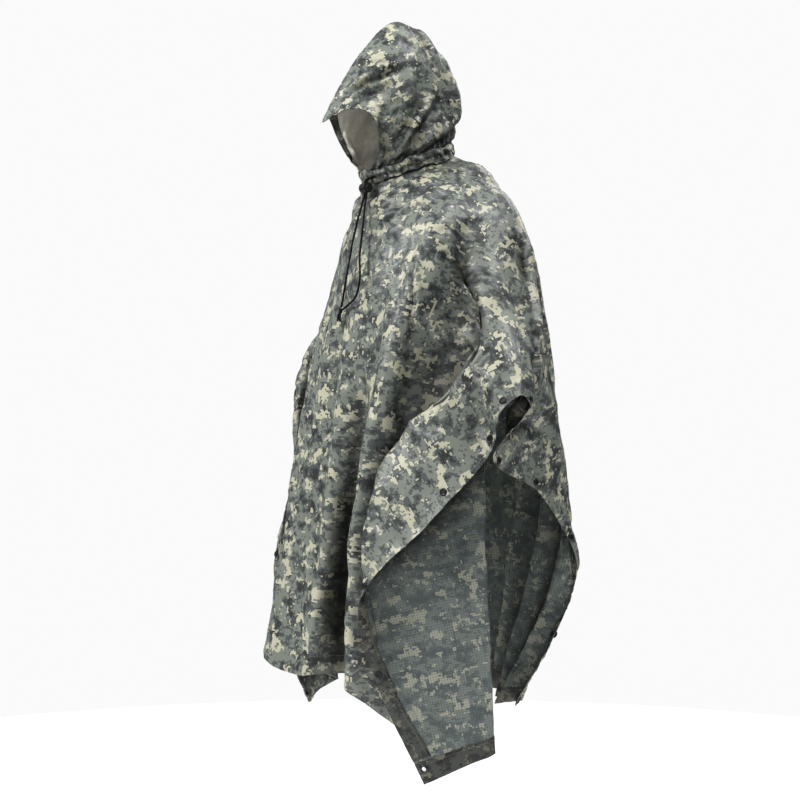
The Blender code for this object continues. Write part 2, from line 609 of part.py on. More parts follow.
# ---------------------------------------------------------------- drawcord
def add_cord(name, route, look):
    """A round cord along a smooth curve through the points of its route."""
    fine = smooth_curve(route, np.linspace(0.0, len(route) - 1.0, 40 * len(route)))
    lengths = np.concatenate(([0.0], np.cumsum(np.linalg.norm(np.diff(fine, axis=0), axis=1))))
    count = max(4, round(lengths[-1] / CORD_STEP) + 1)
    stations = np.linspace(0.0, lengths[-1], count)
    points = np.array([np.interp(stations, lengths, fine[:, axis]) for axis in range(3)]).T
    curve = bpy.data.curves.new(name, "CURVE")
    curve.dimensions = "3D"
    curve.bevel_depth = CORD_RADIUS
    curve.bevel_resolution = 2
    curve.use_fill_caps = True
    spline = curve.splines.new("POLY")
    spline.points.add(count - 1)
    for point, place in zip(spline.points, points):
        point.co = (*place, 1.0)
    curve.materials.append(look)
    cord = bpy.data.objects.new(name, curve)
    bpy.context.scene.collection.objects.link(cord)


def add_barrel(name, centre, radius, length, look, sides=20, chamfer=0.0012):
    """A cylinder along X with chamfered rims."""
    half = length / 2
    profile = ((-half, radius - chamfer), (-half + chamfer, radius),
               (half - chamfer, radius), (half, radius - chamfer))
    vertices = []
    for along, size in profile:
        for k in range(sides):
            angle = 2 * math.pi * k / sides
            vertices.append((along, size * math.cos(angle), size * math.sin(angle)))
    faces = [tuple(range(sides)), tuple(range(3 * sides, 4 * sides))]
    for ring in range(3):
        for k in range(sides):
            after = (k + 1) % sides
            faces.append((ring * sides + k, ring * sides + after,
                          (ring + 1) * sides + after, (ring + 1) * sides + k))
    made = add_object(name, mesh_from(name, vertices, faces), look)
    made.location = centre
    return made


def add_lock(look):
    """Cord lock: a barrel with a slot for both cords, and its sprung button at one end."""
    body = add_barrel("cord_lock_body", LOCK_CENTRE, LOCK_RADIUS, LOCK_LENGTH, look)
    wide, deep = LOCK_HOLE
    bpy.ops.mesh.primitive_cube_add(size=1.0, location=LOCK_CENTRE)
    cutter = bpy.context.object
    cutter.name = "cord_slot_cutter"
    cutter.scale = (wide, deep, 4 * LOCK_RADIUS)
    cutter.hide_render = True
    cutter.display_type = "WIRE"
    slot = body.modifiers.new("cord slot", "BOOLEAN")
    slot.operation = "DIFFERENCE"
    slot.object = cutter
    offset = LOCK_LENGTH / 2 + GAP + PLUNGER_LENGTH / 2
    button = (LOCK_CENTRE[0] + offset, LOCK_CENTRE[1], LOCK_CENTRE[2])
    add_barrel("cord_lock_button", button, PLUNGER_RADIUS, PLUNGER_LENGTH, look, sides=16)


def add_knot(look):
    """The overhand knot that joins the two cords."""
    bpy.ops.mesh.primitive_uv_sphere_add(segments=12, ring_count=8, radius=KNOT_RADIUS,
                                         location=KNOT_CENTRE)
    knot = bpy.context.object
    knot.name = "cord_knot"
    knot.scale = (1.0, 0.85, 1.05)
    knot.data.materials.append(look)
    knot.data.shade_smooth()


# ---------------------------------------------------------------- build
def clear_scene():
    for old in list(bpy.data.objects):
        bpy.data.objects.remove(old, do_unlink=True)


def build():
    clear_scene()
    looks = {
        "cloth": material("outer_cloth", (0.27, 0.29, 0.26), 0.50),
        "facing": material("facing_cloth", (0.22, 0.24, 0.21), 0.55),
        "snap": material("black_snap", (0.02, 0.02, 0.02), 0.35),
        "metal": material("dark_grommet", (0.05, 0.05, 0.05), 0.35, 0.8),
        "cord": material("black_cord", (0.015, 0.015, 0.015), 0.80),
        "lock": material("black_plastic", (0.02, 0.02, 0.02), 0.40),
    }
    front_right = [fold_line(fold, True, -1.0, np.array(fold[4:])) for fold in FRONT_RIGHT[1:]]
    add_panel("front", Sheet(FRONT_LEFT, front_right, True), looks)
    add_panel("back", Sheet(BACK_LEFT, back_right_lines(), False), looks)
    add_hood(looks["cloth"])
    add_casing(looks["cloth"])
    add_nape_loop(looks["facing"])
    for name, route in CORD_ROUTES.items():
        add_cord(name, route, looks["cord"])
    add_lock(looks["lock"])
    add_knot(looks["cord"])


build()
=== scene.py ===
"""Dresses the rain poncho: cloth, facings, stitching, snaps, grommets, hood, casing and drawcord.

Metres, +Z up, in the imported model's frame; the tables are in millimetres. Cloth is measured
`across` from the centre line (positive to the wearer's left) and `down` from the shoulder
seam, as in the part's source.
"""

import math
from collections import namedtuple

import bpy
import numpy as np
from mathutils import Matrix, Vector
from mathutils.bvhtree import BVHTree


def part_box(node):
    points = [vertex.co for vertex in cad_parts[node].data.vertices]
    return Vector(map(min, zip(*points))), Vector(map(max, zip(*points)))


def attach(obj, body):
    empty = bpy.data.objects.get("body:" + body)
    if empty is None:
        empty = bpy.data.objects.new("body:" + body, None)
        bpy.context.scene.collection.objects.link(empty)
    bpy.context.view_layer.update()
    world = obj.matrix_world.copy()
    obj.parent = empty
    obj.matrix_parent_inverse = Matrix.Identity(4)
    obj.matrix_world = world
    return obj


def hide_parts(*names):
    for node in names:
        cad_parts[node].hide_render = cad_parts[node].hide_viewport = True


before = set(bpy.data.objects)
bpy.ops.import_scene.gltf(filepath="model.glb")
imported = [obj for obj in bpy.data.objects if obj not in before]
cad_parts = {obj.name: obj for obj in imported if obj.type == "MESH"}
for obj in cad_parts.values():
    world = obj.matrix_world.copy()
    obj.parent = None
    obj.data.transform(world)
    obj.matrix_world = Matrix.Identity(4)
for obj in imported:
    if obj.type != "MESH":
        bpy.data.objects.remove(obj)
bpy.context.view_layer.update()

# ---------------------------------------------------------------- sizes
HALF_WIDTH = 0.70           # flat cape, centre line to side edge
HALF_LENGTH = 1.12          # flat cape, shoulder seam to hem
CLOTH = 0.0012              # wall of the cloth that shows
GAP = 0.0003                # between two pieces
LIFT = 0.0001               # of threads, snaps and eyelets off the cloth
FACING_WIDTH = 0.042
FACING_CLOTH = 0.0008
STITCH = (0.0032, 0.0048, 0.0007)       # length, spacing and width of a stitch
STITCH_RISE = 0.0005        # of its middle over the cloth
STITCH_SINK = 0.0002        # of its ends into the cloth
BACK_PRINT = 4.0            # the back's print is read this far from the front's

CELL = 0.0068               # of the fine grid of a panel
SPAN_CELLS = (13, 13, 13, 19, 25, 15, 15, 22)   # fine cells between folds, from the centre out
FLATTEN_ROUNDS = ((24, 500), (12, 300), (6, 200), (3, 100))     # cells to a step, and rounds
RIDGE_ROWS = 9              # rows on each side of the shoulder that are rounded
RIDGE_ROUNDS = 26
RIDGE_FADE = 0.03           # way from the neck in which the rounding sets in

LEAST_PUSH = 0.0004         # a smaller push is never held back
RAY_START = 0.0015          # a ray to the next layer starts this far off the sheet
CLEAR_SHARE = 0.40          # a push takes at most this share of the way to the next layer
CLEAR_SPREAD = 2            # cells round a held point that are held with it
CLEAR_EVEN = 8              # rounds that even the held share out
CLEAR_RISE = 0.02           # and the most that it may rise in one of them
INNER_EVEN = 3              # rounds that even out the normals under the inner wall

SNAP_RADIUS = 0.0075
GROMMET_RADIUS = 0.0088
GROMMET_HOLE = 0.0045
CUT_HOLE = 0.0056           # in the cloth, under a grommet

NECK_HALF_WIDTH = 0.090
NECK_CENTRE = np.array((0.0, 0.022, 0.045))
NECK_RADIUS_X = 0.085
NECK_RADIUS_Y = 0.103
NECK_TILT = math.radians(20.5)
NECK_SIDE = np.array((1.0, 0.0, 0.0))
NECK_BACK = np.array((0.0, math.cos(NECK_TILT), math.sin(NECK_TILT)))
NECK_UP = np.array((0.0, -math.sin(NECK_TILT), math.cos(NECK_TILT)))

CASING_CELLS = (420, 26)    # round the neck, and up
CASING_HEIGHT = 0.0240
CASING_DEPTH = 0.0070
# Its lower edge lies over the panels and its upper edge over the hood's foot: height, then
# the size, count and phase of each wave round it.
CASING_EDGES = ((-0.0085, (0.0030, 5, 1.0), (0.0022, 13, 0.0)),
                (0.0330, (0.0030, 4, 2.0), (0.0024, 11, 1.0)))
CASING_OUT = 0.0080
CASING_DRAWN = 0.0030       # how far the cord draws it in,
CASING_WAIST = (0.45, 0.10)             # and where, in shares of its width: middle and spread
CASING_FOLDS = ((23, 5.0, 0.0012), (37, -4.0, 0.0009), (14, 7.0, 0.0013), (59, 3.0, 0.0004))
CASING_EDGE_IN = 0.0030     # how far its edges lie in behind the swell of its middle
CASING_TUCK = 0.0005        # how far its turned edge lies in behind the neck ring
CASING_INSET = (0.0006, 0.0004)         # of the turned edge and of the inner side from both ends
CASING_TURN = 0.12          # share of the casing's width in which its edge turns under
LAY_REACH = 0.012           # the casing looks this far for the cloth it lies over
LAY_CLEAR = 0.0009          # and its turned edge stays this far above it
LAY_TOP = 0.0022            # with the top of the fold this much higher still
LOOP_RADIUS = 0.0095
LOOP_WIDTH = 0.0090
LOOP_LENGTH = 0.030
LOOP_TAPE = 0.0014
LOOP_CELLS = (7, 33)        # across the tape, and along it

HOOD_CELLS = (64, 96)       # up to the seam, and round
HOOD_HEM = 7                # fine columns under the hood's turned-in brim
HOOD_SEAM = (0.0016, 0.0042)            # height and spread of the hood's seam

CORD_RADIUS = 0.0022
CORD_STEP = 0.004
KNOT_CENTRE = (0.0470, -0.1690, -0.2640)
KNOT_SIZE = 0.00135
KNOT_CORD = 0.0019

CAMERA_AT = (3.4641, -2.0, -0.449)
CAMERA_LOOK = (-0.866025, 0.5, 0.0)
CAMERA_LENS = 84.24
LAMPS_LOOK_AT = (0.0, 0.0, -0.4)
FLOOR = -1.47
FLOOR_RADIUS = 2.4
FLOOR_SIDES = 96
FLOOR_GLOW = 0.38
AMBIENT = 0.15
# Name, place, diameter in metres and power in watts of each lamp.
LIGHTS = (
    ("key", (1.3, 0.5, 3.0), 0.8, 80.0),
    ("front", (-0.2, -2.9, 1.6), 0.9, 100.0),
    ("near", (3.4, -2.3, 0.4), 2.0, 16.0),
    ("fill", (-2.8, -1.2, 1.4), 2.4, 10.0),
    ("rear", (-1.0, 2.9, 1.7), 2.2, 46.0),
)

# Relief of the cloth besides its creases. Waves: height, length, count and stretch down the
# cloth. Crumple: height, size and stretch.
SEEDS = {"front": 11, "back": 37}
FALL_WAVES = (0.0042, 0.150, 6, 5.0)
SOFT_WAVES = (0.0022, 0.110, 6, 1.8)
NECK_GATHER = (0.0030, 0.021, 0.075, 0.10)      # height, length, and reach down and sideways
COARSE_CRUMPLE = (0.0028, 0.085, 1.5)
FINE_CRUMPLE = (0.0011, 0.034, 1.0)
HOOD_SIDES = (("left", 1.0, 71), ("right", -1.0, 93))       # side, sign and seed
HOOD_COARSE = (0.0030, 0.075)
HOOD_FINE = (0.0012, 0.030)
HOOD_GATHER = (0.0022, 0.019, 0.030)            # height, length and reach up
HOOD_FADE = (0.012, 0.010, 0.006)       # from foot and seam for the relief, from foot for the gather
SEAM_FADE = 0.020           # the relief of a panel fades this near the shoulder seam
FALL_FROM = (0.10, 0.45)    # where its falling waves start, and the way in which they grow
CREASE_ENDS = 0.12          # what is left of a panel's crease at its ends
HOOD_CREASE_ENDS = 0.15

# ---------------------------------------------------------------- tables, in millimetres
# Shoulder seam: across, then the place it takes on the shoulder and along the arm.
SHOULDER_SEAM = ((90, 85, 22, 45), (150, 143, 20, 20), (220, 206, 22, -26), (350, 282, 45, -135),
                 (500, 362, 58, -265), (600, 425, 30, -345), (700, 482, -8, -430))
RIGHT_CUFF_LIFT = 22        # the right arm is held this much higher at its cuff

# Fold lines of one half panel, from the centre line to the side edge. Each row: name, the
# fold's place across the flat cloth at the seam and at the hem, how far it rolls over the
# shoulder, and its place at five levels: chest, waist, thigh, knee and hem.
LEVELS = (0.0, 0.06, 0.15, 0.35, 0.60, 0.80, 1.0)   # share down: seam, roll and those five
ROLL_REACH = 0.42           # where a fold rolls over: its share of the way to the chest,
ROLL_SIDEWAYS = 0.45        # and how it swells there, in shares of its roll
ROLL_OUT = 0.80
ROLL_UP = 0.40
FRONT_LEFT = (
    ("centre", 0, 0, 1, (0, -118, -100), (0, -160, -320), (0, -190, -600), (0, -215, -820), (0, -238, -1020)),
    ("chest", 90, 90, 20, (108, -106, -78), (90, -158, -310), (75, -197, -590), (60, -224, -812),
     (40, -245, -1014)),
    ("valley", 170, 170, 24, (160, -100, -120), (158, -156, -330), (130, -176, -600), (98, -166, -815),
     (62, -162, -1015)),
    ("crest", 250, 250, 30, (228, -98, -185), (230, -165, -385), (205, -208, -660), (172, -208, -860),
     (150, -205, -1035)),
    ("underlay", 330, 380, 30, (270, -72, -250), (268, -86, -450), (288, -118, -720), (280, -115, -918),
     (262, -108, -1120)),
    ("turn", 400, 550, 30, (325, -45, -330), (365, -30, -500), (390, -30, -770), (393, -22, -955),
     (396, -16, -1137)),
    ("return", 470, 600, 30, (345, -65, -385), (303, -112, -548), (335, -120, -790), (345, -85, -975),
     (368, -54, -1160)),
    ("flap", 550, 650, 30, (352, -85, -430), (250, -186, -572), (262, -225, -780), (290, -165, -990),
     (337, -90, -1183)),
    ("edge", 700, 700, 20, (432, -52, -553), (372, -154, -686), (280, -254, -835), (257, -203, -1000),
     (305, -122, -1205)),
)

# The front's right half falls in a cascade of its own, further back and less deep. It starts
# beside the centre fold, which both halves share.
FRONT_RIGHT = (
    ("chest", 90, 90, 12, (-104, -64, -80), (-90, -138, -310), (-85, -190, -600), (-85, -222, -815),
     (-80, -248, -1017)),
    ("front", 170, 170, 12, (-150, -38, -110), (-160, -112, -330), (-160, -177, -610), (-165, -213, -815),
     (-170, -238, -999)),
    ("crest", 250, 250, 14, (-215, -36, -160), (-235, -88, -385), (-225, -135, -665), (-225, -165, -860),
     (-222, -190, -1022)),
    ("underlay", 330, 380, 18, (-275, -25, -240), (-289, -30, -460), (-285, -60, -730), (-268, -85, -920),
     (-272, -92, -1052)),
    ("turn", 400, 550, 22, (-330, -15, -315), (-363, 16, -500), (-388, 34, -760), (-392, 42, -940),
     (-388, 54, -1100)),
    ("return", 470, 600, 24, (-350, -35, -365), (-326, -44, -545), (-352, -52, -775), (-372, -30, -950),
     (-384, 8, -1118)),
    ("flap", 550, 650, 24, (-365, -58, -405), (-286, -104, -572), (-280, -142, -765), (-330, -96, -965),
     (-364, -22, -1135)),
    ("edge", 700, 700, 8, (-425, -24, -525), (-370, -74, -662), (-306, -146, -818), (-304, -128, -975),
     (-344, -44, -1140)),
)

BACK_LEFT = (
    ("centre", 0, 0, 20, (0, 190, -20), (0, 206, -250), (0, 208, -530), (0, 212, -790), (0, 215, -1060)),
    ("blade", 90, 90, 46, (100, 200, -30), (105, 218, -250), (95, 232, -530), (80, 245, -790),
     (58, 255, -1060)),
    ("hollow", 170, 180, 48, (178, 187, -62), (172, 214, -275), (145, 208, -545), (118, 200, -800),
     (88, 182, -1065)),
    ("ridge", 250, 270, 46, (238, 176, -130), (225, 226, -330), (200, 238, -595), (178, 228, -830),
     (148, 208, -1070)),
    ("dip", 330, 360, 44, (290, 156, -205), (262, 208, -400), (232, 208, -650), (200, 186, -860),
     (152, 145, -1072)),
    ("swell", 400, 450, 36, (325, 142, -275), (290, 206, -465), (278, 242, -700), (250, 222, -880),
     (205, 172, -1075)),
    ("pleat", 470, 550, 32, (360, 118, -335), (314, 195, -520), (292, 215, -735), (258, 180, -900),
     (192, 116, -1080)),
    ("tuck", 550, 650, 28, (398, 95, -395), (336, 182, -575), (308, 235, -765), (286, 204, -925),
     (222, 150, -1072)),
    ("edge", 700, 700, 55, (438, -44, -557), (352, 120, -640), (314, 234, -800), (298, 184, -945),
     (250, 130, -1078)),
)
# The back's right half mirrors its left, swung forward and lifted, level by level.
BACK_RIGHT_SWING = (10, -8, -16, -22, -30)
BACK_RIGHT_LIFT = (24, 14, 18, 24, 30)

# Hood: arches from the face opening to the nape. Each row: name, where its foot stands on the
# neck ring in degrees (0 throat, 180 nape), the two pull points of its curve, and its seam top.
HOOD_ARCHES = (
    ("brim", 4.0, (144, -96, 95), (96, -114, 204), (-186, 130)),
    ("brow", 26.0, (132, -66, 102), (60, -101, 250), (-146, 206)),
    ("front", 52.0, (126, -33, 130), (58, -58, 304), (-93, 285)),
    ("crown", 86.0, (120, 18, 150), (60, 8, 362), (-10, 356)),
    ("rear", 120.0, (106, 70, 160), (61, 66, 316), (80, 302)),
    ("nape", 146.0, (86, 112, 140), (52, 124, 205), (124, 190)),
)
HOOD_END = (157.0, 166.0, 174.0, 180.0)     # the last arch lies along the neck ring

# Routes of the two cord ends, from the casing through the lock to the knot, and of their tails.
CORD_ROUTES = {
    "cord_near": ((21.5, -80.1, 19.6), (21.5, -90, 16.4), (21.5, -96.2, 12.2), (21.5, -98.5, 7),
        (21.5, -98.5, -4), (21.5, -98.5, -19), (29, -108, -37), (50, -129, -70), (56.5, -145, -118),
        (57.3, -154, -160), (56, -163, -210), (52, -168, -248), (48.9, -169, -257.4)),
    "cord_far": ((30.2, -77.6, 20.7), (30.2, -89, 16.8), (30.2, -96, 12.4), (30.2, -98.5, 7),
        (30.2, -98.5, -4), (30.2, -98.5, -19), (42, -108.5, -39), (72, -128, -70), (86, -141, -115),
        (96, -151, -155), (112, -160, -204.5), (106, -166, -238), (83, -169, -252), (60, -169.5, -261),
        (53.7, -169.3, -262.7)),
    "cord_tail_near": ((42.7, -170, -269.7), (40, -171, -276), (39.2, -172, -286)),
    "cord_tail_far": ((47.7, -170.2, -270.8), (49, -172, -278), (51.5, -172.5, -287)),
}

# Creases of a panel. Each row: name, height, width, and its line through (across, down) places
# on the flat cloth. Height is out of the cloth, less than 0 for a trough; width is its spread.
FRONT_CREASES = (
    ("armpit line", -5, 5, (216, 120), (236, 164), (262, 204), (284, 252), (294, 330)),
    ("armpit lip", 4, 7, (236, 120), (256, 160), (282, 200), (304, 256)),
    ("shoulder line", -22, 10.5, (250, 4), (283, 12), (306, 40), (354, 59), (405, 75), (483, 68), (540, 62)),
    ("shoulder lip", 7, 9, (250, 20), (276, 36), (300, 56), (326, 82), (340, 110)),
    ("underarm hollow", -40, 28, (300, 50), (345, 80), (390, 110), (433, 124), (492, 121), (560, 108)),
    ("side hollow", -40, 40, (350, 110), (384, 180), (410, 250), (390, 340), (350, 400)),
    ("arm edge", 12, 11, (330, 8), (392, 24), (482, 36), (576, 35), (650, 34)),
    ("thin line", -4.6, 3.6, (556, 36), (574, 70), (570, 110), (545, 150)),
    ("cuff ridge one", 8, 7, (510, 162), (552, 134), (601, 104), (640, 76), (684, 46)),
    ("cuff line", -5.6, 3.8, (520, 146), (560, 120), (602, 92), (640, 64), (684, 32)),
    ("cuff ridge two", 5, 4.4, (532, 132), (572, 104), (610, 78), (650, 50), (684, 22)),
    ("cuff pocket", -32, 24, (520, 224), (574, 196), (622, 170), (672, 140)),
    ("flap swell", 9, 16, (540, 310), (600, 270), (664, 236)),
    ("neck sweep one", -10, 9, (36, 150), (80, 146), (130, 118), (160, 60), (172, 10)),
    ("neck roll one", 8.5, 9, (50, 178), (96, 160), (140, 126), (178, 60), (192, 4)),
    ("neck sweep two", -8.5, 9, (50, 208), (103, 180), (163, 116), (204, 40)),
    ("neck sweep three", -7, 8, (94, 236), (140, 196), (168, 160)),
    ("under casing", -6, 9, (-70, 30), (-30, 50), (10, 56), (50, 48), (82, 20)),
    ("right neck sweep", -6, 11, (-40, 140), (-90, 140), (-136, 100), (-165, 30)),
    ("right neck roll", 5, 10, (-50, 180), (-104, 160), (-160, 110), (-196, 30)),
    ("right armpit", -6, 9, (-210, 110), (-236, 190), (-250, 290), (-262, 390)),
    ("right arm trough", -8, 15, (-300, 10), (-350, 60), (-410, 120), (-440, 200)),
    ("right elbow", -5, 7, (-560, 10), (-580, 60), (-560, 130), (-500, 200)),
    ("right elbow roll", 5, 8, (-600, 20), (-612, 80), (-590, 150), (-530, 230)),
    ("chest fall", 8, 17, (60, 260), (64, 331), (71, 479), (86, 683), (94, 900), (90, 1080)),
    ("chest hollow", -7, 15, (24, 300), (26, 480), (30, 700), (24, 960)),
    ("middle fall", 7.5, 16, (-12, 240), (-19, 317), (-30, 479), (-49, 669), (-60, 930), (-56, 1100)),
    ("front valley", -30, 20, (150, 440), (154, 600), (158, 740), (162, 880), (168, 1080)),
    ("crest line", 8, 13, (236, 380), (246, 500), (246, 640), (246, 780), (252, 940), (262, 1080)),
    ("flank line", -5, 10, (296, 300), (302, 420), (320, 560), (330, 700)),
    ("drawn corner", -4, 9, (560, 320), (600, 450), (640, 600), (655, 760)),
    ("flap hollow", -4.6, 12, (590, 300), (560, 430), (545, 560), (560, 700)),
    ("inner sweep", 5, 12, (470, 520), (500, 680), (530, 860), (556, 1050)),
    ("inner hollow", -5, 13, (430, 460), (452, 640), (486, 840), (510, 1060)),
    ("right fall", 5.6, 16, (-120, 280), (-126, 460), (-134, 700), (-140, 1000)),
    ("right hollow", -5.6, 15, (-190, 300), (-200, 520), (-206, 760), (-210, 1060)),
    ("right flap line", -4.5, 10, (-560, 330), (-590, 470), (-620, 640), (-640, 820)),
)
BACK_CREASES = (
    ("shoulder start", -8, 15, (270, 0), (240, 20), (200, 40), (160, 75), (130, 130)),
    ("shoulder roll", 5.5, 12, (245, 0), (214, 16), (170, 36), (120, 80)),
    ("nape fan one", -9, 10, (0, 20), (10, 90), (30, 170), (40, 270)),
    ("nape fan two", 8, 11, (40, 20), (60, 90), (86, 170), (96, 290)),
    ("nape fan three", -9, 11, (-44, 20), (-60, 100), (-80, 190), (-86, 320)),
    ("blade sweep", -9, 13, (110, 100), (160, 150), (210, 220), (236, 320)),
    ("arm line", -6, 12, (330, 160), (380, 200), (420, 250), (440, 320)),
    ("sleeve fold", -19, 8.5, (193, 88), (252, 82), (334, 64), (410, 52), (508, 46), (606, 54), (664, 90),
     (640, 200), (600, 320)),
    ("sleeve edge", 9, 8, (205, 56), (269, 50), (343, 37), (422, 24), (520, 20), (606, 24), (680, 40)),
    ("arm roll", 5.5, 11, (290, 30), (340, 110), (376, 200), (396, 310)),
    ("elbow line", -6, 9, (540, 20), (560, 90), (548, 180), (510, 280)),
    ("elbow roll", 5, 9, (580, 20), (600, 100), (590, 200), (550, 320)),
    ("right shoulder", -11, 15, (-262, 0), (-226, 26), (-180, 60), (-140, 120)),
    ("right blade", -9, 13, (-120, 110), (-176, 170), (-224, 250), (-240, 360)),
    ("right arm line", -10, 12, (-340, 40), (-396, 130), (-430, 230), (-440, 330)),
    ("right elbow", 5.5, 9, (-560, 20), (-590, 110), (-586, 210), (-540, 330)),
    ("middle fall", 6, 17, (30, 340), (26, 560), (20, 800), (16, 1080)),
    ("left fall", 5.5, 15, (130, 330), (136, 560), (140, 800), (142, 1070)),
    ("left hollow", -6, 15, (80, 300), (82, 520), (86, 780), (84, 1060)),
    ("right fall", 6, 16, (-70, 360), (-74, 590), (-80, 820), (-76, 1080)),
    ("right hollow", -6, 15, (-140, 320), (-150, 560), (-150, 820), (-146, 1070)),
    ("flap line", -5, 11, (470, 330), (500, 500), (540, 700), (560, 940)),
    ("right flap line", -5, 11, (-480, 340), (-520, 520), (-560, 720), (-580, 950)),
)
CREASES = {"front": FRONT_CREASES, "back": BACK_CREASES}

# Creases of the hood, through places in space; the wearer's right side is laid out mirrored.
HOOD_LEFT_CREASES = (
    ("brow ridge", 8.5, 4.5, (20, -140, 204), (41, -104, 227), (56, -66, 246), (66, -29, 261)),
    ("brow trough", -8.5, 5, (26, -148, 186), (48, -112, 209), (62, -74, 230), (72, -33, 246)),
    ("second ridge", 7, 4.2, (34, -146, 177), (53, -116, 194), (64, -86, 212), (74, -56, 226)),
    ("second trough", -6, 5.5, (44, -142, 166), (62, -110, 182), (74, -78, 200), (82, -50, 212)),
    ("side valley", -15, 9, (84, 56, 196), (93, 29, 156), (95, 5, 125), (90, -18, 90), (78, -34, 60)),
    ("valley ridge", 10, 6.5, (86, 30, 200), (94, 8, 163), (94, -14, 128), (88, -36, 96), (74, -54, 62)),
    ("front valley", -10, 7.5, (88, 0, 180), (94, -20, 146), (90, -42, 108), (76, -64, 74)),
    ("temple line", -7, 6, (76, 4, 250), (86, -4, 212), (90, -14, 180), (94, -10, 150)),
    ("temple swell", 7, 8, (76, -14, 246), (86, -24, 206), (90, -34, 170)),
    ("crown notch", -11, 7, (6, 6, 352), (25, 14, 344), (37, 22, 329), (48, 31, 310), (59, 38, 284)),
    ("crown bump", 7, 9, (10, 34, 346), (32, 40, 328), (50, 50, 300), (64, 58, 262)),
    ("rear valley", -9, 10, (60, 52, 262), (76, 60, 222), (84, 64, 180), (80, 74, 136)),
    ("rear swell", 8, 11, (30, 78, 300), (54, 88, 256), (66, 98, 206), (66, 104, 160)),
    ("nape fold", -11, 8, (20, 124, 170), (46, 118, 146), (68, 98, 124), (82, 60, 100), (88, 20, 82)),
    ("foot roll", 8, 8, (52, -72, 54), (78, -38, 68), (88, 10, 92), (86, 50, 116), (70, 94, 140)),
    ("foot fold", -9, 6, (53, -67, 44), (79, -34, 57), (87, 22, 74), (74, 72, 98)),
    ("cheek fold", -8, 7, (88, -108, 130), (83, -90, 102), (71, -71, 72), (58, -66, 52)),
    ("cheek roll", 7, 7, (90, -84, 134), (84, -70, 104), (74, -56, 78)),
)
HOOD_RIGHT_CREASES = (
    ("brow ridge", 8, 6, (30, -130, 208), (52, -90, 232), (66, -40, 256)),
    ("brow trough", -8, 6.5, (40, -132, 190), (60, -92, 212), (74, -44, 236)),
    ("side valley", -14, 10, (86, 44, 204), (95, 18, 160), (94, -4, 120), (84, -26, 80)),
    ("side swell", 9, 9, (84, 14, 214), (94, -12, 166), (92, -34, 124)),
    ("crown dip", -10, 8, (6, 20, 350), (30, 28, 334), (52, 36, 300)),
    ("rear swell", 8, 11, (30, 70, 306), (56, 80, 262), (70, 90, 206)),
    ("rear valley", -9, 10, (56, 52, 270), (78, 60, 220), (84, 66, 166)),
    ("nape fold", -11, 8, (22, 124, 164), (52, 114, 140), (80, 76, 112), (88, 30, 88)),
    ("foot roll", 8, 8, (60, -66, 56), (84, -20, 74), (88, 30, 102)),
    ("cheek fold", -8, 7, (86, -104, 124), (82, -80, 92), (70, -66, 64)),
)
HOOD_CREASES = {"left": HOOD_LEFT_CREASES, "right": HOOD_RIGHT_CREASES}


# ---------------------------------------------------------------- curves and folds
def metres(values):
    """Millimetres of the tables as metres, rounded to the double nearest each decimal value."""
    return np.round(np.array(values, float) / 1000.0, 6)


def unit(vectors):
    return vectors / np.linalg.norm(vectors, axis=-1, keepdims=True)


def cubic(t, step, starts, leaving, ends, arriving):
    """Cubic curves between starts and ends, with the slopes at both, read at shares t."""
    return ((2 * t**3 - 3 * t**2 + 1) * starts + (t**3 - 2 * t**2 + t) * (leaving * step)
            + (3 * t**2 - 2 * t**3) * ends + (t**3 - t**2) * (arriving * step))


def smooth_curve(points, places):
    """Centripetal Catmull-Rom curve through points, read at places counted in points."""
    points = np.asarray(points, float)
    chords = np.linalg.norm(np.diff(points, axis=0), axis=1)
    steps = np.sqrt(np.maximum(chords, 1e-6))[:, None]
    slopes = np.diff(points, axis=0) / steps
    middle = slopes[1:] - (points[2:] - points[:-2]) / (steps[1:] + steps[:-1]) + slopes[:-1]
    tangents = np.concatenate((slopes[:1], middle, slopes[-1:]))
    places = np.clip(np.asarray(places, float), 0.0, len(points) - 1.0)
    first = np.minimum(places.astype(int), len(points) - 2)
    return cubic((places - first)[:, None], steps[first], points[first], tangents[first],
                 points[first + 1], tangents[first + 1])


def spread(values, knots, places):
    """Cubic curves through values given at knots, read at places along the first axis."""
    steps = np.diff(knots).astype(float)[:, None, None]
    slopes = np.diff(values, axis=0) / steps
    middle = (slopes[1:] * steps[:-1] + slopes[:-1] * steps[1:]) / (steps[1:] + steps[:-1])
    tangents = np.concatenate((slopes[:1], middle, slopes[-1:]))
    first = np.clip(np.searchsorted(knots, places, side="right") - 1, 0, len(knots) - 2)
    step = steps[first]
    t = (places - np.asarray(knots)[first])[:, None, None] / step
    return cubic(t, step, values[first], tangents[first], values[first + 1], tangents[first + 1])


def neck_ring(degrees, height=0.0, grow=0.0):
    """Points round the neck seam: 0 at the throat, 90 at the wearer's left, 180 at the nape."""
    turn = np.radians(degrees)[..., None]
    height, grow = np.asarray(height)[..., None], np.asarray(grow)[..., None]
    return (NECK_CENTRE + (NECK_RADIUS_X + grow) * np.sin(turn) * NECK_SIDE
            - (NECK_RADIUS_Y + grow) * np.cos(turn) * NECK_BACK + height * NECK_UP)


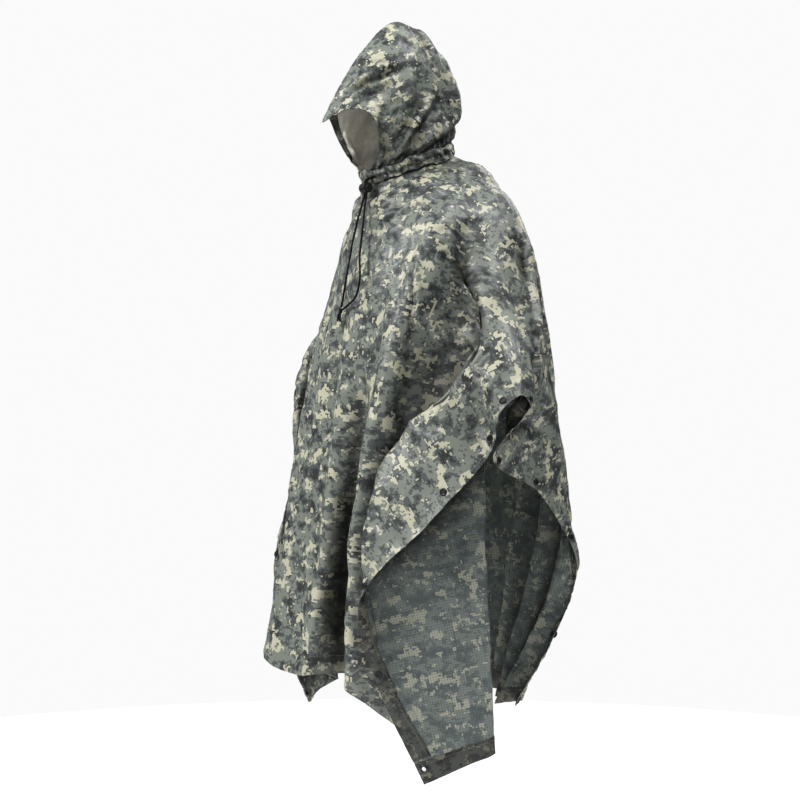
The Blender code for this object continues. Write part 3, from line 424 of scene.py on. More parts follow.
def top_point(across, front, side):
    """Upper end of a fold: on the neck ring near the centre, else on the shoulder seam."""
    if across < NECK_HALF_WIDTH:
        angle = side * 90.0 * across / NECK_HALF_WIDTH
        return neck_ring(angle if front else 180.0 - angle)
    seam = metres(SHOULDER_SEAM)
    point = smooth_curve(seam[:, 1:], np.interp([across], seam[:, 0], range(len(seam))))[0]
    if side < 0:
        point = point * (-1.0, 1.0, 1.0)
        out = (across - NECK_HALF_WIDTH) / (HALF_WIDTH - NECK_HALF_WIDTH)
        point[2] += RIGHT_CUFF_LIFT / 1000.0 * out**2
    return point


Fold = namedtuple("Fold", "at_seam at_hem roll levels")


def folds_of(rows):
    return [Fold(*metres(row[1:4]), metres(row[4:])) for row in rows]


def back_right_folds():
    """The back's right half: its left half mirrored, swung and lifted."""
    folds = folds_of(BACK_LEFT)[1:]
    for fold in folds:
        fold.levels[:, 0] *= -1.0
        fold.levels[:, 1] += metres(BACK_RIGHT_SWING)
        fold.levels[:, 2] += metres(BACK_RIGHT_LIFT)
    return folds


def fold_line(fold, front, side):
    """The fold's seven points from the seam to the hem."""
    top = top_point(fold.at_seam, front, side)
    beside = min(1.0, fold.at_seam / NECK_HALF_WIDTH) * (1.0 - (fold.at_seam / HALF_WIDTH) ** 3)
    outward = np.array((side * ROLL_SIDEWAYS * beside, -ROLL_OUT if front else ROLL_OUT, ROLL_UP))
    rolled = top + ROLL_REACH * (fold.levels[0] - top) + fold.roll * outward
    return np.array((top, rolled, *fold.levels))


# ---------------------------------------------------------------- fine sheets
def fine_columns(knots, strip):
    """Fine columns of one row, counted in folds; the outermost strips are a facing wide."""
    counts = SPAN_CELLS[::-1] + SPAN_CELLS
    last = len(knots) - 1
    part = FACING_WIDTH / (knots[-1] - knots[-2])
    edge = np.concatenate((np.linspace(0.0, part, strip + 1)[:-1],
                           np.linspace(part, 1.0, counts[0] - strip + 1)[:-1]))
    inside = [span + np.arange(counts[span]) / counts[span] for span in range(1, last - 1)]
    return np.concatenate((edge, *inside, last - edge[::-1]))


class FineSheet:
    """A panel's sheet at a fine spacing: points, outward normals, cloth places and print."""

    def __init__(self, left, right, front):
        self.front = front
        self.turn = -1.0 if front else 1.0
        lines = [fold_line(fold, front, -1.0) for fold in right[::-1]]
        lines += [fold_line(fold, front, 1.0) for fold in left]
        seam = np.array([fold.at_seam for fold in left])
        hem = np.array([fold.at_hem for fold in left])
        at_seam, at_hem = (np.concatenate((-half[:0:-1], half)) for half in (seam, hem))
        hem_from = 1.0 - FACING_WIDTH / HALF_LENGTH
        self.strip = round(FACING_WIDTH / CELL)
        self.strip_row = round(HALF_LENGTH * hem_from / CELL)
        shares = np.concatenate((np.linspace(0.0, hem_from, self.strip_row + 1),
                                 np.linspace(hem_from, 1.0, self.strip + 1)[1:]))
        rows, across = [], []
        for share in shares:
            knots = at_seam + share * (at_hem - at_seam)
            places = fine_columns(knots, self.strip)
            level = np.interp([share], LEVELS, range(len(LEVELS)))
            rows.append(smooth_curve([smooth_curve(line, level)[0] for line in lines], places))
            across.append(np.interp(places, range(len(knots)), knots))
        points = np.array(rows).transpose(1, 0, 2)
        self.across = np.array(across).T
        self.down = np.tile(shares * HALF_LENGTH, (len(points), 1))
        tops = [top_point(abs(a), front, math.copysign(1.0, a)) for a in self.across[:, 0]]
        fade = np.maximum(0.0, 1.0 - shares / LEVELS[2])
        points += (np.array(tops) - points[:, 0])[:, None] * fade[:, None]
        on_seam = np.abs(self.across[:, 0]) >= NECK_HALF_WIDTH - 1e-6
        points[on_seam, 0, 1] += self.turn * GAP / 2
        self.points = points
        self.normals = sheet_normals(points) * self.turn
        self.prints = flatten(points, np.stack((self.across, self.down), axis=2))

    def push(self, amount):
        """Moves the sheet along its normals, held back before its next layer.

        A sharp crease can still cross itself, because only the way to another layer is tested.
        """
        amount = amount * share_free(self.points, self.normals, amount)
        self.points = self.points + amount[..., None] * self.normals
        self.normals = sheet_normals(self.points) * self.turn


def sheet_tree(points):
    wide, tall = points.shape[:2]
    number = np.arange(wide * tall).reshape(wide, tall)
    quads = np.stack((number[:-1, :-1], number[1:, :-1], number[1:, 1:], number[:-1, 1:]), axis=2)
    return BVHTree.FromPolygons(points.reshape(-1, 3).tolist(), quads.reshape(-1, 4).tolist())


def sum_around(values):
    """Sum of each place's four neighbours in a grid, which repeats its rim outside."""
    padded = np.pad(values, ((1, 1), (1, 1)) + ((0, 0),) * (values.ndim - 2), mode="edge")
    return padded[:-2, 1:-1] + padded[2:, 1:-1] + padded[1:-1, :-2] + padded[1:-1, 2:]


def share_free(points, ways, amount):
    """The share of each push that stays clear of the sheet's other layers, evened out."""
    wide, tall = points.shape[:2]
    tree = sheet_tree(points)
    share = np.ones((wide, tall))
    for i, j in zip(*np.nonzero(np.abs(amount) > LEAST_PUSH)):
        size = abs(amount[i, j])
        way = Vector(ways[i, j]) * math.copysign(1.0, amount[i, j])
        hit = tree.ray_cast(Vector(points[i, j]) + RAY_START * way, way, size / CLEAR_SHARE)
        if hit[3] is not None:
            share[i, j] = min(1.0, CLEAR_SHARE * (hit[3] + RAY_START - CLOTH) / size)
    share = np.clip(share, 0.0, 1.0)
    for _ in range(CLEAR_SPREAD):
        padded = np.pad(share, 1, mode="edge")
        share = np.minimum.reduce([padded[k:k + wide, m:m + tall] for k in range(3) for m in range(3)])
    for _ in range(CLEAR_EVEN):
        share = np.minimum(share + CLEAR_RISE, 0.2 * (sum_around(share) + share))
    return share


def inner_wall(points, normals):
    """The inner side of a sheet, set in along normals evened out over the neighbours."""
    ways = normals
    for _ in range(INNER_EVEN):
        ways = unit(2.0 * ways + sum_around(ways))
        for border in (np.s_[0, :], np.s_[-1, :], np.s_[:, 0], np.s_[:, -1]):
            ways[border] = normals[border]
    square = np.clip(np.sum(ways * normals, axis=2), 0.0, 1.0)
    return points - (CLOTH * square)[..., None] * ways


def lay_clear(points, layers, clear):
    """Moves points out to a small distance above the cloth that they lie over."""
    for cloth, ways in layers:
        tree = sheet_tree(cloth)
        for at in np.ndindex(points.shape[:2]):
            for _ in range(2):
                near, _, face, _ = tree.find_nearest(Vector(points[at]), LAY_REACH)
                if near is None:
                    break
                way = ways[divmod(face, cloth.shape[1] - 1)]
                above = float((points[at] - np.array(near)) @ way)
                if above >= clear[at]:
                    break
                points[at] += (clear[at] - above) * way
    return points


AHEAD, BEHIND, ALL = slice(1, None), slice(None, -1), slice(None)
NEIGHBOURS = (
    ((BEHIND, ALL), (AHEAD, ALL)),
    ((ALL, BEHIND), (ALL, AHEAD)),
    ((BEHIND, BEHIND), (AHEAD, AHEAD)),
    ((BEHIND, AHEAD), (AHEAD, BEHIND)),
)


def sheet_normals(points):
    """Normals at the points of a grid: each corner's, weighed by its angle."""
    total = np.zeros_like(points)
    for i, k, turn_i in ((BEHIND, AHEAD, 1.0), (AHEAD, BEHIND, -1.0)):
        for j, m, turn_j in ((BEHIND, AHEAD, 1.0), (AHEAD, BEHIND, -1.0)):
            across = unit(points[k, j] - points[i, j])
            down = unit(points[i, m] - points[i, j])
            angle = np.arccos(np.clip((across * down).sum(axis=2, keepdims=True), -0.999, 0.999))
            total[i, j] += unit(np.cross(across, down)) * angle * turn_i * turn_j
    return unit(total)


def flatten(points, flat):
    """Lays a grid of points flat, keeping the distances between neighbours as well as it can."""
    wide, tall = points.shape[:2]
    for step, rounds in FLATTEN_ROUNDS:
        i = np.unique(np.append(np.arange(0, wide, step), wide - 1))
        j = np.unique(np.append(np.arange(0, tall, step), tall - 1))
        part, place = points[np.ix_(i, j)], flat[np.ix_(i, j)].copy()
        for _ in range(rounds):
            move = np.zeros_like(place)
            count = np.zeros(place.shape[:2])[..., None]
            for here, there in NEIGHBOURS:
                rest = np.linalg.norm(part[there] - part[here], axis=2)
                gap = place[there] - place[here]
                length = np.maximum(np.linalg.norm(gap, axis=2), 1e-6)
                pull = 0.5 * (1.0 - rest / length)[..., None] * gap
                move[here] += pull
                move[there] -= pull
                count[here] += 1.0
                count[there] += 1.0
            place += 1.9 * move / count
        rows = spread(place, i, np.arange(wide)).transpose(1, 0, 2)
        flat = spread(rows, j, np.arange(tall)).transpose(1, 0, 2)
    return flat


def crease_field(points, creases, ends):
    """Soft troughs and ridges along listed lines, which fade towards both ends."""
    total = np.zeros(points.shape[:2])
    for _, height, width, *line in creases:
        line = metres(line)
        lengths = np.linalg.norm(np.diff(line, axis=0), axis=1)
        starts = np.concatenate(([0.0], np.cumsum(lengths)))
        near, along = np.full(total.shape, np.inf), np.zeros(total.shape)
        for start, end, length, before in zip(line, line[1:], lengths, starts):
            way = (end - start) / length
            part = np.clip((points - start) @ way, 0.0, length)
            away = np.linalg.norm(points - start - part[..., None] * way, axis=2)
            closer = away < near
            near = np.where(closer, away, near)
            along = np.where(closer, (before + part) / starts[-1], along)
        fade = np.clip(4.0 * np.minimum(along, 1.0 - along) + ends, 0.0, 1.0)
        total += height / 1000.0 * fade * np.exp(-0.5 * (near / (width / 1000.0)) ** 2)
    return total


def ripples(u, v, seed, wave, count=7, stretch=1.0):
    """A smooth uneven field between about -1 and 1: waves of many directions."""
    chance = np.random.default_rng(seed)
    total = np.zeros(u.shape)
    for _ in range(count):
        turn = chance.uniform(0.0, math.pi)
        length = wave * chance.uniform(0.7, 1.45)
        phase = chance.uniform(0.0, 2 * math.pi)
        way = u * math.cos(turn) + v * math.sin(turn) / stretch
        total += np.sin(2 * math.pi * way / length + phase)
    return total / math.sqrt(count)


def crumple(u, v, seed, size, stretch=1.0):
    """Flat facets between soft ridges, as crumpled coated cloth has."""
    warp_u = u + 0.35 * size * ripples(u, v, seed + 50, 1.9 * size)
    warp_v = v + 0.35 * size * ripples(u, v, seed + 60, 1.9 * size)
    first = np.abs(ripples(warp_u, warp_v, seed, size, 4, stretch))
    second = np.abs(ripples(warp_u, warp_v, seed + 1, 0.7 * size, 4, stretch))
    return 0.65 * (0.8 - first) + 0.35 * (0.8 - second)


# ---------------------------------------------------------------- meshes
def add_object(name, data, at=None, way=None, up="Z"):
    made = bpy.data.objects.new(name, data)
    if at is not None:
        made.location = at
        made.rotation_mode = "QUATERNION"
        made.rotation_quaternion = Vector(way).to_track_quat(up, "Y")
    bpy.context.scene.collection.objects.link(made)
    return made


def new_object(name, vertices, faces, looks, indices=None, prints=None, sharp=55.0, **place):
    mesh = bpy.data.meshes.new(name)
    mesh.from_pydata(np.asarray(vertices).tolist(), [], [tuple(face) for face in faces])
    for look in looks:
        mesh.materials.append(look)
    if indices is not None:
        mesh.polygons.foreach_set("material_index", np.asarray(indices, np.int32))
    if prints is not None:
        layer = mesh.uv_layers.new(name="UVMap")
        corners = np.empty(len(mesh.loops), np.int32)
        mesh.loops.foreach_get("vertex_index", corners)
        layer.data.foreach_set("uv", np.asarray(prints, np.float32)[corners].ravel())
    mesh.shade_smooth()
    if sharp:
        mesh.set_sharp_from_angle(angle=math.radians(sharp))
    return add_object(name, mesh, **place)


def around(i, j, k, m):
    """Places of a grid once round the block from (i, j) to (k, m)."""
    return ([(a, j) for a in range(i, k)] + [(k, b) for b in range(j, m)]
            + [(a, m) for a in range(k, i, -1)] + [(i, b) for b in range(m, j, -1)])


def shell(name, outer, inner, prints, looks, flip, holes=()):
    """A closed wall between two grids, its outer side in the first look and its inner in the second."""
    wide, tall = outer.shape[:2]
    number = np.arange(wide * tall).reshape(wide, tall)
    keep = np.ones((wide - 1, tall - 1), bool)
    for i, j in holes:
        keep[i - 1:i + 1, j - 1:j + 1] = False
    quads = np.stack((number[:-1, :-1], number[1:, :-1], number[1:, 1:], number[:-1, 1:]), axis=2)[keep]
    if flip:
        quads = quads[:, ::-1]
    walls = []
    for loop in [around(0, 0, wide - 1, tall - 1)] + [around(i - 1, j - 1, i + 1, j + 1)[::-1]
                                                      for i, j in holes]:
        for here, there in zip(loop, loop[1:] + loop[:1]):
            wall = (number[here], number[there], number[there] + wide * tall, number[here] + wide * tall)
            walls.append(wall if flip else wall[::-1])
    faces = np.concatenate((quads, quads[:, ::-1] + wide * tall, np.array(walls)))
    indices = np.zeros(len(faces), np.int32)
    indices[len(quads):2 * len(quads)] = 1
    vertices = np.concatenate((outer.reshape(-1, 3), inner.reshape(-1, 3)))
    coordinates = np.concatenate((prints.reshape(-1, 2),) * 2)
    used = np.unique(faces)
    fresh = np.full(len(vertices), -1)
    fresh[used] = np.arange(len(used))
    return new_object(name, vertices[used], fresh[faces], looks, indices, coordinates[used])


def lathe(name, profile, look, centre, normal, sides=28):
    """A turned piece about a normal, from points (radius, height) of a closed or open profile."""
    vertices, faces = [], []
    count = len(profile)
    for k in range(sides):
        angle = 2 * math.pi * k / sides
        vertices += [(r * math.cos(angle), r * math.sin(angle), z) for r, z in profile]
        here, there = k * count, (k + 1) % sides * count
        for m in range(count):
            after = (m + 1) % count
            if profile[m][0] > 1e-6 or profile[after][0] > 1e-6:
                faces.append((here + m, there + m, there + after, here + after))
    made = new_object(name, vertices, faces, [look], sharp=35.0, at=centre, way=normal)
    made.modifiers.new("weld", "WELD").merge_threshold = 1e-6
    return made


def stitches(name, paths):
    """Short threads lying along each path of (points, normals)."""
    length, spacing, width = STITCH
    vertices, faces = [], []
    for points, normals in paths:
        marks = np.concatenate(([0.0], np.cumsum(np.linalg.norm(np.diff(points, axis=0), axis=1))))
        starts = np.arange(spacing / 2, marks[-1] - length, spacing)

        def read(places, values):
            return np.stack([np.interp(places, marks, values[:, k]) for k in range(3)], axis=1)

        start, middle, end = (read(starts + share * length, points) for share in (0.0, 0.5, 1.0))
        up = unit(read(starts, normals))
        side = np.cross(up, unit(end - start)) * width / 2
        first = len(vertices)
        sunk = STITCH_SINK * up
        rings = [start - sunk, middle - side, middle + STITCH_RISE * up, middle + side, end - sunk]
        vertices += np.stack(rings, axis=1).reshape(-1, 3).tolist()
        for a in range(first, first + 5 * len(starts), 5):
            faces += [(a, a + 1, a + 2), (a, a + 2, a + 3), (a + 4, a + 2, a + 1),
                      (a + 4, a + 3, a + 2), (a, a + 3, a + 4, a + 1)]
    return finish_piece(new_object(name, vertices, faces, [THREAD], sharp=0.0), "facing_cloth")


def finish_piece(made, slot, *nodes):
    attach(made, "root")
    if nodes:
        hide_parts(*nodes)
    return made


# ---------------------------------------------------------------- materials
def linear(*srgb):
    """A colour given by its screen values, 0 to 255, as the shader takes it."""
    shares = [value / 255.0 for value in srgb]
    return tuple(s / 12.92 if s <= 0.04045 else ((s + 0.055) / 1.055) ** 2.4 for s in shares) + (1.0,)


class Look:
    """A material with a few helpers for its nodes."""

    def __init__(self, name, roughness=0.5, metallic=0.0, specular=0.5):
        self.material = bpy.data.materials.new(name)
        self.material.use_nodes = True
        self.tree = self.material.node_tree
        self.inputs = self.tree.nodes["Principled BSDF"].inputs
        self.fill(self.inputs, {"Roughness": roughness, "Metallic": metallic,
                                "Specular IOR Level": specular, "Sheen Weight": 0.0})

    def fill(self, inputs, values):
        for key, value in values.items():
            if isinstance(value, bpy.types.NodeSocket):
                self.tree.links.new(value, inputs[key])
            else:
                inputs[key].default_value = value

    def node(self, kind, values=None, **settings):
        made = self.tree.nodes.new(kind)
        for key, value in settings.items():
            setattr(made, key, value)
        self.fill(made.inputs, values or {})
        return made

    def math(self, operation, first, second=0.0, third=0.0):
        return self.node("ShaderNodeMath", {0: first, 1: second, 2: third}, operation=operation).outputs[0]

    def vector(self, operation, first, second=(0.0, 0.0, 0.0), output=0):
        return self.node("ShaderNodeVectorMath", {0: first, 1: second}, operation=operation).outputs[output]

    def noise(self, place, scale, detail=2.0, rough=0.5, distortion=0.0):
        values = {"Vector": place, "Scale": scale, "Detail": detail, "Roughness": rough,
                  "Distortion": distortion}
        return self.node("ShaderNodeTexNoise", values).outputs["Fac"]

    def steps(self, value, stops):
        """Hard steps: (from, colour) pairs."""
        ramp = self.node("ShaderNodeValToRGB", {"Fac": value})
        ramp.color_ramp.interpolation = "CONSTANT"
        elements = ramp.color_ramp.elements
        while len(elements) < len(stops):
            elements.new(0.5)
        for element, (place, colour) in zip(elements, stops):
            element.position = place
            element.color = colour
        return ramp.outputs["Color"]

    def mix(self, share, first, second, blend="MIX"):
        return self.node("ShaderNodeMix", data_type="RGBA", blend_type=blend,
                         values={0: share, 6: first, 7: second}).outputs[2]

    def bump(self, height, strength, distance, **normal):
        values = {"Height": height, "Strength": strength, "Distance": distance, **normal}
        return self.node("ShaderNodeBump", values).outputs["Normal"]

    def finish(self, colour, normal):
        self.fill(self.inputs, {"Base Color": colour, "Normal": normal})
        return self.material


BLACK, WHITE = (0.0, 0.0, 0.0, 1.0), (1.0, 1.0, 1.0, 1.0)
SAND = linear(204, 201, 174)
FOLIAGE = linear(126, 132, 122)
SLATE = linear(73, 80, 80)
NIGHT = linear(31, 35, 37)
WORN = linear(112, 113, 104)
DEEP = linear(22, 21, 18)       # the colour of a hollow that no light reaches
MESH_DOT = linear(58, 66, 70)
PIXEL = 0.0034              # side of one block of the print
PRINT_STRETCH = (0.92, 1.08, 1.0)
# Noises of the print: where it is read, scale, detail, roughness, and its share of the sum.
GROUND_NOISES = (((0.0, 0.0, 0.0), 26.0, 1.5, 0.5, 0.54), ((7.0, 3.0, 2.0), 75.0, 1.0, 0.6, 0.34),
                 ((1.0, 9.0, 4.0), 190.0, 0.0, 0.5, 0.12))
SAND_NOISES = (((13.0, 1.0, 6.0), 29.0, 1.5, 0.5, 0.60), ((5.0, 2.0, 8.0), 95.0, 1.0, 0.6, 0.40))
GROUND_STEPS = ((0.0, NIGHT), (0.430, SLATE), (0.500, FOLIAGE), (0.606, SLATE))
SAND_STEPS = ((0.0, BLACK), (0.560, WHITE))
WEAR = 0.25                 # how much of the worn colour shows, at most
MESH = (190.0, 0.26, 0.48)  # dots to a metre, their radius in cells, and their depth
HOLLOW_SHADE_POWER = 1.9          # how fast the painted shade in a hollow darkens


def printed_cloth(name, roughness, specular, faded=0.0, mesh=False, offset=(0.0, 0.0),
                  fade_to=(106, 116, 114), painted_shade=1.0, hollow=0.0):
    """Coated cloth with a print of square blocks in four shades, laid out by thresholds on noise; painted
    shade can darken it all over, and in its hollows through an occlusion node.
    """
    look = Look(name, roughness, specular=specular)
    uv = look.node("ShaderNodeUVMap", uv_map="UVMap").outputs["UV"]
    moved = look.vector("ADD", uv, (3.0 + offset[0], 5.0 + offset[1], 0.0))
    block = look.vector("SNAP", moved, (PIXEL, PIXEL, PIXEL))
    long = look.vector("MULTIPLY", block, PRINT_STRETCH)

    def layers(noises, stretched):
        """Noises added up by their shares; the first ones are read from the stretched blocks."""
        total = 0.0
        for number, (shift, scale, detail, rough, share) in enumerate(noises):
            place = look.vector("ADD", long if number < stretched else block, shift)
            total = look.math("MULTIPLY_ADD", look.noise(place, scale, detail, rough), share, total)
        return total

    shades = look.steps(layers(GROUND_NOISES, 2), GROUND_STEPS)
    colour = look.mix(look.steps(layers(SAND_NOISES, 1), SAND_STEPS), shades, SAND)
    colour = look.mix(look.math("MULTIPLY", look.noise(moved, 4.0, 3.0, 0.55), WEAR), colour, WORN)
    if faded:
        colour = look.mix(faded, colour, linear(*fade_to))
    if mesh:
        count, radius, depth = MESH
        part = look.vector("FRACTION", look.vector("MULTIPLY", moved, (count, count, 0.0)))
        away = look.vector("DISTANCE", part, (0.5, 0.5, 0.0), "Value")
        dots = look.math("LESS_THAN", away, radius)
        colour = look.mix(look.math("MULTIPLY", dots, depth), colour, MESH_DOT)
    # Painted shade: the colour is multiplied darker all over.
    if painted_shade < 1.0:
        colour = look.mix(1.0, colour, (painted_shade, painted_shade, painted_shade, 1.0), "MULTIPLY")
    # Painted shade: the colour is darkened towards DEEP where an occlusion node finds other cloth close by,
    # in creases and under folds.
    if hollow:
        cover = look.node("ShaderNodeAmbientOcclusion", {"Distance": hollow}, samples=6).outputs["AO"]
        depth = look.math("POWER", cover, HOLLOW_SHADE_POWER)
        colour = look.mix(look.math("SUBTRACT", 1.0, depth), colour, DEEP)
    crinkle = look.noise(moved, 46.0, 4.0, 0.62, 0.6)
    grain = look.bump(look.noise(moved, 620.0, 1.0, 0.5), 0.10, 0.0004)
    return look.finish(colour, look.bump(crinkle, 0.30, 0.0035, Normal=grain))


def plain(name, colour, roughness, metallic=0.0, specular=0.5):
    """A single-coloured hard or woven look, with uneven tone and a fine grain."""
    look = Look(name, roughness, metallic, specular)
    place = look.node("ShaderNodeTexCoord").outputs["Object"]
    lighter = tuple(min(1.0, 1.9 * value + 0.006) for value in colour[:3]) + (1.0,)
    tone = look.mix(look.noise(place, 160.0, 3.0, 0.6), colour, lighter)
    return look.finish(tone, look.bump(look.noise(place, 900.0), 0.15, 0.0003))


def braid(name, colour):
    """Braided cord: strands that cross along its length."""
    look = Look(name, 0.8, specular=0.12)
    place = look.node("ShaderNodeTexCoord").outputs["Object"]
    turned = look.node("ShaderNodeMapping", {"Vector": place, "Rotation": (0.6, 0.5, 0.4)}).outputs[0]
    waves = [look.node("ShaderNodeTexWave", {"Vector": way, "Scale": 260.0, "Distortion": 1.0},
                       bands_direction="Z").outputs["Fac"] for way in (turned, place)]
    strands = look.math("MAXIMUM", *waves)
    return look.finish(look.mix(strands, colour, linear(22, 22, 23)), look.bump(strands, 0.5, 0.0004))


# A hollow value is how far the painted shade in hollows reaches, in metres.
OUTER = printed_cloth("outer_print", 0.46, 0.42, hollow=0.22)
INNER = printed_cloth("inner_print", 0.62, 0.28, faded=0.50, mesh=True, offset=(0.9, 0.4), hollow=0.17)
# The hood's lining is pale grey of its own, and is lightened further towards white as painted light for the
# light that falls into the hood.
LINING = printed_cloth("hood_lining", 0.62, 0.28, faded=0.74, offset=(0.2, 1.4), fade_to=(255, 250, 238))
# The facings are darkened to about a quarter of their print: painted shade.
STRIP = printed_cloth("facing_print", 0.48, 0.40, faded=0.16, offset=(1.7, 0.8), fade_to=(84, 66, 46),
                      painted_shade=0.27)
THREAD = plain("thread", linear(150, 150, 132), 0.75, specular=0.2)
SNAP = plain("snap_metal", linear(26, 26, 27), 0.34, 0.65)
GROMMET = plain("grommet_metal", linear(48, 48, 50), 0.36, 0.85)
PLASTIC = plain("lock_plastic", linear(9, 9, 10), 0.46, specular=0.3)
CORD = braid("cord_braid", linear(7, 7, 8))


# ---------------------------------------------------------------- camera, light and floor
def set_world():
    """A pale backdrop for the camera, and a weaker and cooler light all round."""
    world = bpy.data.worlds.new("studio")
    world.use_nodes = True
    tree = world.node_tree
    ambient = tree.nodes.new("ShaderNodeBackground")
    shown = tree.nodes["Background"]
    for node, colour, strength in ((shown, (0.96, 0.96, 0.96, 1.0), 1.0),
                                   (ambient, (0.90, 0.95, 1.0, 1.0), AMBIENT)):
        node.inputs["Color"].default_value = colour
        node.inputs["Strength"].default_value = strength
    chosen = tree.nodes.new("ShaderNodeMixShader")
    rays = tree.nodes.new("ShaderNodeLightPath")
    for number, source in enumerate((rays.outputs["Is Camera Ray"], ambient.outputs[0], shown.outputs[0])):
        tree.links.new(source, chosen.inputs[number])
    tree.links.new(chosen.outputs[0], tree.nodes["World Output"].inputs["Surface"])
    bpy.context.scene.world = world


def set_stage():
    scene = bpy.context.scene
    scene.camera = add_object("camera", bpy.data.cameras.new("camera"), CAMERA_AT, CAMERA_LOOK, "-Z")
    scene.camera.data.lens = CAMERA_LENS
    scene.camera.data.clip_end = 60.0
    set_world()
    scene.view_settings.view_transform = "Standard"
    for name, place, size, power in LIGHTS:
        lamp = bpy.data.lights.new(name, "AREA")
        lamp.shape = "DISK"
        lamp.size = size
        lamp.energy = power
        add_object(name, lamp, place, Vector(LAMPS_LOOK_AT) - Vector(place), "-Z")
    mesh = bpy.data.meshes.new("floor")
    rim = [2 * math.pi * k / FLOOR_SIDES for k in range(FLOOR_SIDES)]
    mesh.from_pydata([(FLOOR_RADIUS * math.cos(a), FLOOR_RADIUS * math.sin(a), FLOOR) for a in rim],
                     [], [tuple(range(FLOOR_SIDES))])
    look = Look("floor", 0.9, specular=0.1)
    look.fill(look.inputs, {"Base Color": (0.90, 0.90, 0.90, 1.0), "Emission Color": WHITE,
                            "Emission Strength": FLOOR_GLOW})
    mesh.materials.append(look.material)
    add_object("floor", mesh)


# ---------------------------------------------------------------- drawcord
def tube(name, node, points, radius, closed=False):
    """A round cord through points."""
    curve = bpy.data.curves.new(name, "CURVE")
    curve.dimensions = "3D"
    curve.bevel_depth = radius
    curve.bevel_resolution = 3
    curve.use_fill_caps = not closed
    spline = curve.splines.new("POLY")
    spline.points.add(len(points) - 1)
    for point, place in zip(spline.points, points):
        point.co = (*place, 1.0)
    spline.use_cyclic_u = closed
    curve.materials.append(CORD)
    return finish_piece(add_object(name, curve), "black_cord", node)


def add_cord(name):
    """A cord along its route, and its length."""
    route = metres(CORD_ROUTES[name])
    fine = smooth_curve(route, np.linspace(0.0, len(route) - 1.0, 60 * len(route)))
    lengths = np.concatenate(([0.0], np.cumsum(np.linalg.norm(np.diff(fine, axis=0), axis=1))))
    stations = np.linspace(0.0, lengths[-1], max(4, round(lengths[-1] / CORD_STEP) + 1))
    points = np.array([np.interp(stations, lengths, fine[:, axis]) for axis in range(3)]).T
    length = float(np.linalg.norm(np.diff(points, axis=0), axis=1).sum())
    return tube(name + "_braid", name, points, CORD_RADIUS), length


def add_knot():
    """An overhand knot: one strand laid over and under itself in a tight ball."""
    turns = np.linspace(0.0, 2 * math.pi, 61)[:-1]
    x = np.sin(turns) + 2.0 * np.sin(2.0 * turns)
    y = np.cos(turns) - 2.0 * np.cos(2.0 * turns)
    z = -1.3 * np.sin(3.0 * turns)
    route = KNOT_SIZE * np.stack((x, 0.8 * z, 1.1 * y), axis=1) + KNOT_CENTRE
    return tube("knot", "cord_knot", route, KNOT_CORD, closed=True)


def add_cords():
    lock = [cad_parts[node] for node in ("cord_lock_body", "cord_lock_button")]
    for held in lock:
        held.data.materials.clear()
        held.data.materials.append(PLASTIC)
    others = [add_knot()] + [add_cord(name)[0] for name in ("cord_tail_near", "cord_tail_far")] + lock
    for name, pieces in (("cord_near", others), ("cord_far", [])):
        made, length = add_cord(name)


# ---------------------------------------------------------------- cape
def fold_panel(name, panel):
    """Lays the creases, soft waves and crumple of one panel."""
    u, v, seed = panel.across, panel.down, SEEDS[name]
    open_end = np.clip(v / SEAM_FADE, 0.0, 1.0)
    amount = crease_field(np.stack((u, v), axis=2), CREASES[name], CREASE_ENDS)
    fall = np.clip((v - FALL_FROM[0]) / FALL_FROM[1], 0.0, 1.0)
    amount += FALL_WAVES[0] * fall * ripples(u, v, seed, *FALL_WAVES[1:])
    amount += SOFT_WAVES[0] * ripples(u, v, seed + 10, *SOFT_WAVES[1:])
    height, length, down, aside = NECK_GATHER
    near = np.exp(-np.clip(v / down, 0.0, 9.0)) * np.clip(1.5 - np.abs(u) / aside, 0.0, 1.0)
    amount += height * near * np.sin(2 * math.pi * u / length + 2.0 * ripples(u, v, seed + 5, 0.09))
    panel.push(amount * open_end)
    panel.push(COARSE_CRUMPLE[0] * open_end * crumple(u, v, seed + 20, *COARSE_CRUMPLE[1:])
               + FINE_CRUMPLE[0] * open_end * crumple(u, v, seed + 30, *FINE_CRUMPLE[1:]))


def join_shoulders(front, back):
    """Rounds the ridge where front and back meet along the shoulder."""
    reach = RIDGE_ROWS
    band = np.clip((np.abs(front.across[:, 0]) - NECK_HALF_WIDTH) / RIDGE_FADE, 0.0, 1.0)
    on = band > 0.0
    rows = np.abs(np.arange(-reach, reach + 1)) / reach
    share = (band[:, None] * np.clip(1.2 - rows, 0.0, 1.0))[..., None]
    for _ in range(RIDGE_ROUNDS):
        both = np.concatenate((back.points[:, reach:0:-1], (front.points[:, :1] + back.points[:, :1]) / 2,
                               front.points[:, 1:reach + 1]), axis=1)
        smooth = both.copy()
        smooth[:, 1:-1] = 0.5 * both[:, 1:-1] + 0.25 * (both[:, :-2] + both[:, 2:])
        both = both + share * (smooth - both)
        back.points[on, :reach + 1] = both[on, reach::-1]
        front.points[on, :reach + 1] = both[on, reach:]
    for panel in (front, back):
        panel.normals = sheet_normals(panel.points) * panel.turn
    shared = unit(front.normals[:, 0] + back.normals[:, 0])
    for panel in (front, back):
        panel.normals[on, 0] = shared[on]
        panel.points[on, 0, 1] += panel.turn * GAP / 2


def nearest(points, node):
    """Where the grid comes nearest to the middle of a solid."""
    low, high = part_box(node)
    away = ((points - np.array((low + high) / 2)) ** 2).sum(axis=2)
    return np.unravel_index(int(away.argmin()), away.shape)


